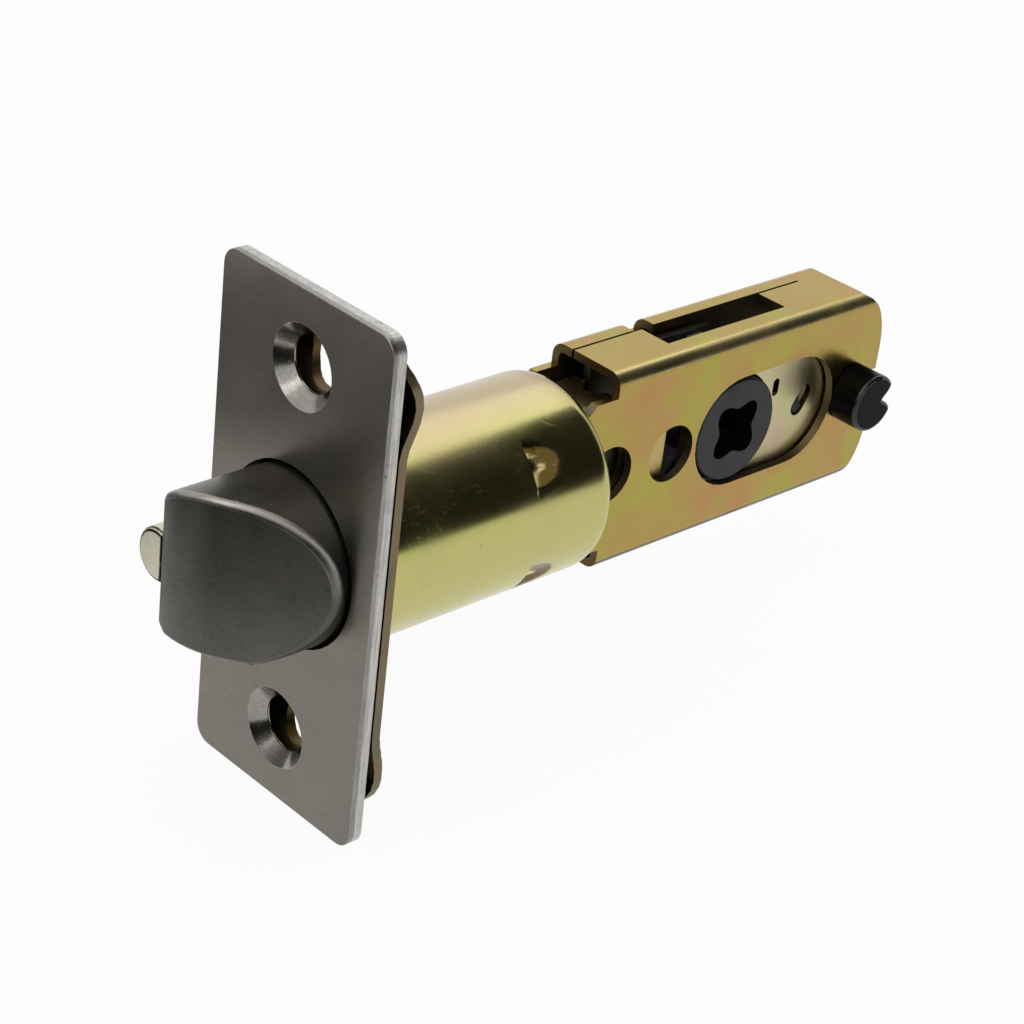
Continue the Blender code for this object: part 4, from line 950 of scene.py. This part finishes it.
# %% [markdown]
# ## Barrel profile
# The profile is a closed loop: up the outside, round the rolled shoulder, and back down the inside
# one wall deeper. The long straight walls get many points, because the dimples of the next step
# move them. Two of the points lie close together where the dimples are sheared open.

# %% Barrel profile
barrel_low, barrel_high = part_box("barrel")
barrel_radius, barrel_front, barrel_rear = barrel_high.x, barrel_low.y, barrel_high.y
BARREL_WALL, BARREL_ROLL = 0.8 * MM, 2.0 * MM
BARREL_STEPS, WALL_ROWS = 168, 64
LANCE_START, LANCE_GAP, LANCE_CLEAR = 24.1 * MM, 0.02 * MM, 0.15 * MM


def quarter(centre, radius, steps=8):
    """Points on the arc of the shoulder, from the radial direction to the rear."""
    angles = [math.radians(90.0 * step / steps) for step in range(steps + 1)]
    return [(centre[0] + radius * math.cos(a), centre[1] + radius * math.sin(a)) for a in angles]


def wall(radius, rear_end):
    """A row of points up the tube wall, with two close ones at the shear line of the dimples."""
    length = rear_end - barrel_front
    rows = [barrel_front + length * step / WALL_ROWS for step in range(WALL_ROWS + 1)]
    rows = [y for y in rows if abs(y - LANCE_START) > LANCE_CLEAR]
    rows += [LANCE_START - LANCE_GAP, LANCE_START + LANCE_GAP]
    return [(radius, y) for y in sorted(rows)]


roll_centre = (barrel_radius - BARREL_ROLL, barrel_rear - BARREL_ROLL)
outside = wall(barrel_radius, roll_centre[1]) + quarter(roll_centre, BARREL_ROLL)[1:]
inside = (wall(barrel_radius - BARREL_WALL, roll_centre[1])
          + quarter(roll_centre, BARREL_ROLL - BARREL_WALL)[1:])
profile = outside + inside[::-1] + outside[:1]
barrel = grow("barrel_finished", [(radius, y, 0.0) for radius, y in profile], lathe_tree,
              Steps=BARREL_STEPS, Material=tube_zinc)
print("Barrel:", len(barrel.data.polygons), "faces from", len(profile), "profile points")

# %% [markdown]
# ## Barrel dimples and neck opening
# Four lanced dimples hold the spring seat. Each is sheared open at its front and pressed in like
# half a cone. The wall has two rings of points at the shear line, so a press is only a matter of
# moving the points behind it inwards. Two marks on the points carry painted light: a painted shade
# that deepens with the press, and a painted highlight on parts of each dimple. A Boolean then opens
# the mouth for the neck of the case.

# %% Barrel dimples and neck opening
DIMPLES = {39.0: 1.3 * MM, 141.0: 1.3 * MM, 215.0: 1.0 * MM, -34.0: 0.8 * MM}
LANCE_LENGTH, LANCE_HALF = 4.3 * MM, 2.75 * MM
DIMPLE_FALL = 1.4
SHADE_LENGTH, SHADE_MOST = 4.5 * MM, 0.07
NECK_HALF_WIDTH, NECK_HALF_HEIGHT, NECK_DEPTH = 5.5 * MM, 8.5 * MM, 4.0 * MM
BARREL_SMOOTH_DEGREES = 50.0
SPOT_BEHIND, SPOT_UP, SPOT_SIZE = 0.42, -0.08, 0.36
CORNER_SHARE, FIELD_SHARE, MARK_SOFTNESS = 0.70, 0.62, 0.3


def held(value):
    return min(1.0, max(0.0, value))


def rubbed_bare(behind, up):
    """The share of painted highlight in a dimple: a bright corner above, a golden field below, one
    bright spot.
    """
    spot = 1.0 - math.hypot(behind - SPOT_BEHIND, up - SPOT_UP) / SPOT_SIZE
    corner = CORNER_SHARE * held(min(up - 0.10, 1.0 - up - 0.9 * behind) / MARK_SOFTNESS)
    field = FIELD_SHARE * held(min(0.14 - up, 0.75 + 0.5 * up - behind) / MARK_SOFTNESS)
    return max(0.0, spot, corner, field)


def press_dimples(mesh):
    """Moves the points in and notes on each its share of painted shade, which deepens with the
    press, and of painted highlight. The shoulder gets a faint share of the painted shade too, most
    on its top."""
    pressed_mark = mesh.attributes.new("pressed", "FLOAT", "POINT")
    rubbed_mark = mesh.attributes.new("rubbed", "FLOAT", "POINT")
    for vert in mesh.vertices:
        radius = math.hypot(vert.co.x, vert.co.z)
        # Painted shade over the top of the rolled shoulder.
        over_shoulder = held(1.0 - (barrel_rear - vert.co.y) / SHADE_LENGTH)
        on_top = max(0.0, vert.co.z / radius)
        pressed_mark.data[vert.index].value = SHADE_MOST * over_shoulder * on_top
        behind = (vert.co.y - LANCE_START) / LANCE_LENGTH
        if not 0.0 < behind < 1.0:
            continue
        around = math.degrees(math.atan2(vert.co.z, vert.co.x))
        for degrees, deep in DIMPLES.items():
            turn_away = math.radians((around - degrees + 180) % 360 - 180)
            arc_away = turn_away * barrel_radius / LANCE_HALF
            away = math.hypot(behind, arc_away)
            if away < 1.0:
                share = (1.0 - away * away) ** DIMPLE_FALL
                pressed_radius = radius - deep * share
                vert.co.x *= pressed_radius / radius
                vert.co.z *= pressed_radius / radius
                pressed_mark.data[vert.index].value = share
                rubbed_mark.data[vert.index].value = rubbed_bare(behind, arc_away)


press_dimples(barrel.data)
opening_mesh = bpy.data.meshes.new("Neck opening")
opening_body = bmesh.new()
bmesh.ops.create_cube(opening_body, size=1.0)
for vert in opening_body.verts:
    vert.co = (vert.co.x * 2 * NECK_HALF_WIDTH, barrel_rear + vert.co.y * NECK_DEPTH,
               vert.co.z * 2 * NECK_HALF_HEIGHT)
opening_body.to_mesh(opening_mesh)
opening_body.free()
opening = new_piece("Neck opening", opening_mesh, tube_zinc)
neck_cut = barrel.modifiers.new("Neck opening", "BOOLEAN")
neck_cut.object = opening
neck_cut.solver = "EXACT"
settle(barrel, BARREL_SMOOTH_DEGREES)
bpy.data.objects.remove(opening)
seat_piece(barrel, "barrel")
print("Barrel with", len(DIMPLES), "dimples:", len(barrel.data.polygons), "faces")

# %% [markdown]
# ## Springs
# Two compression springs lie inside the barrel. A coil is a path with a rule, so a second tree makes
# both: it bends a resampled line into turns, closes the first and the last turn, and sweeps the
# wire along it.

# %% Coil tree and springs
POINTS_PER_TURN = 28.0
CLOSED_PITCH = 2.2
WIRE_SIDES = 10
BOLT_COIL, BOLT_WIRE, PLUNGER_WIRE = 2.7 * MM, 0.3 * MM, 0.25 * MM

coil_tree, t, given, out = geometry_tree(
    "Coil",
    [("Turns", INT, 8), ("Coil radius", FLOAT, 0.003), ("Wire", FLOAT, 0.0003),
     ("Front", FLOAT, 0.0), ("Rear", FLOAT, 0.02), ("Centre", FLOAT, 0.0),
     ("Material", STUFF, None)],
)
line = t.add("GeometryNodeCurvePrimitiveLine", {"mode": "POINTS"}).outputs[0]
points = t.math("ADD", t.math("MULTIPLY", given["Turns"], POINTS_PER_TURN), 1.0)
path = t.add("GeometryNodeResampleCurve", Curve=line, Count=points)
turn = t.math("MULTIPLY", t.add("GeometryNodeSplineParameter").outputs["Factor"], given["Turns"])
closed = t.math("MULTIPLY", given["Wire"], CLOSED_PITCH)
open_turns = t.math("SUBTRACT", given["Turns"], 2.0)
last = t.math("MAXIMUM", t.math("SUBTRACT", turn, t.math("SUBTRACT", given["Turns"], 1.0)), 0.0)
ends = t.math("MULTIPLY", t.math("ADD", t.math("MINIMUM", turn, 1.0), last), closed)
taken = t.math("ADD", t.math("MULTIPLY", given["Wire"], 2.0), t.math("MULTIPLY", closed, 2.0))
free_span = t.math("SUBTRACT", t.math("SUBTRACT", given["Rear"], given["Front"]), taken)
middle_turn = t.math("MINIMUM", t.math("MAXIMUM", t.math("SUBTRACT", turn, 1.0), 0.0), open_turns)
middle = t.math("MULTIPLY", t.math("DIVIDE", middle_turn, open_turns), free_span)
along = t.math("ADD", t.math("ADD", given["Front"], given["Wire"]), t.math("ADD", ends, middle))
angle = t.math("MULTIPLY", turn, 2 * math.pi)
sideways = t.math("MULTIPLY", given["Coil radius"], t.math("COSINE", angle))
upwards = t.math("MULTIPLY", given["Coil radius"], t.math("SINE", angle))
coiled = t.add("ShaderNodeCombineXYZ", X=t.math("ADD", given["Centre"], sideways), Y=along,
               Z=upwards).outputs[0]
bent = t.add("GeometryNodeSetPosition", Geometry=path.outputs[0], Position=coiled).outputs[0]
wire_ring = t.add("GeometryNodeCurvePrimitiveCircle", {"mode": "RADIUS"}, Resolution=WIRE_SIDES,
                  Radius=given["Wire"]).outputs[0]
swept = t.add("GeometryNodeCurveToMesh", Curve=bent, Profile_Curve=wire_ring, Fill_Caps=True)
finish_tree(t, given, out, swept.outputs[0])


def wind_spring(node, turns, coil_radius, wire):
    """A coil as long as the CAD spring."""
    low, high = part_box(node)
    centre = (low.x + high.x) / 2
    spring = grow(f"{node}_finished", [(centre, low.y, 0.0)], coil_tree, Turns=turns,
                  Coil_radius=coil_radius, Wire=wire, Front=low.y, Rear=high.y, Centre=centre,
                  Material=spring_wire)
    seat_piece(settle(spring), node)
    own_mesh(spring)


wind_spring("bolt_spring", 8, BOLT_COIL, BOLT_WIRE)
bar_low, bar_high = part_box("plunger_spring")
plunger_coil = (bar_high.z - bar_low.z) / 2 - PLUNGER_WIRE
wind_spring("plunger_spring", 9, plunger_coil, PLUNGER_WIRE)

# %% [markdown]
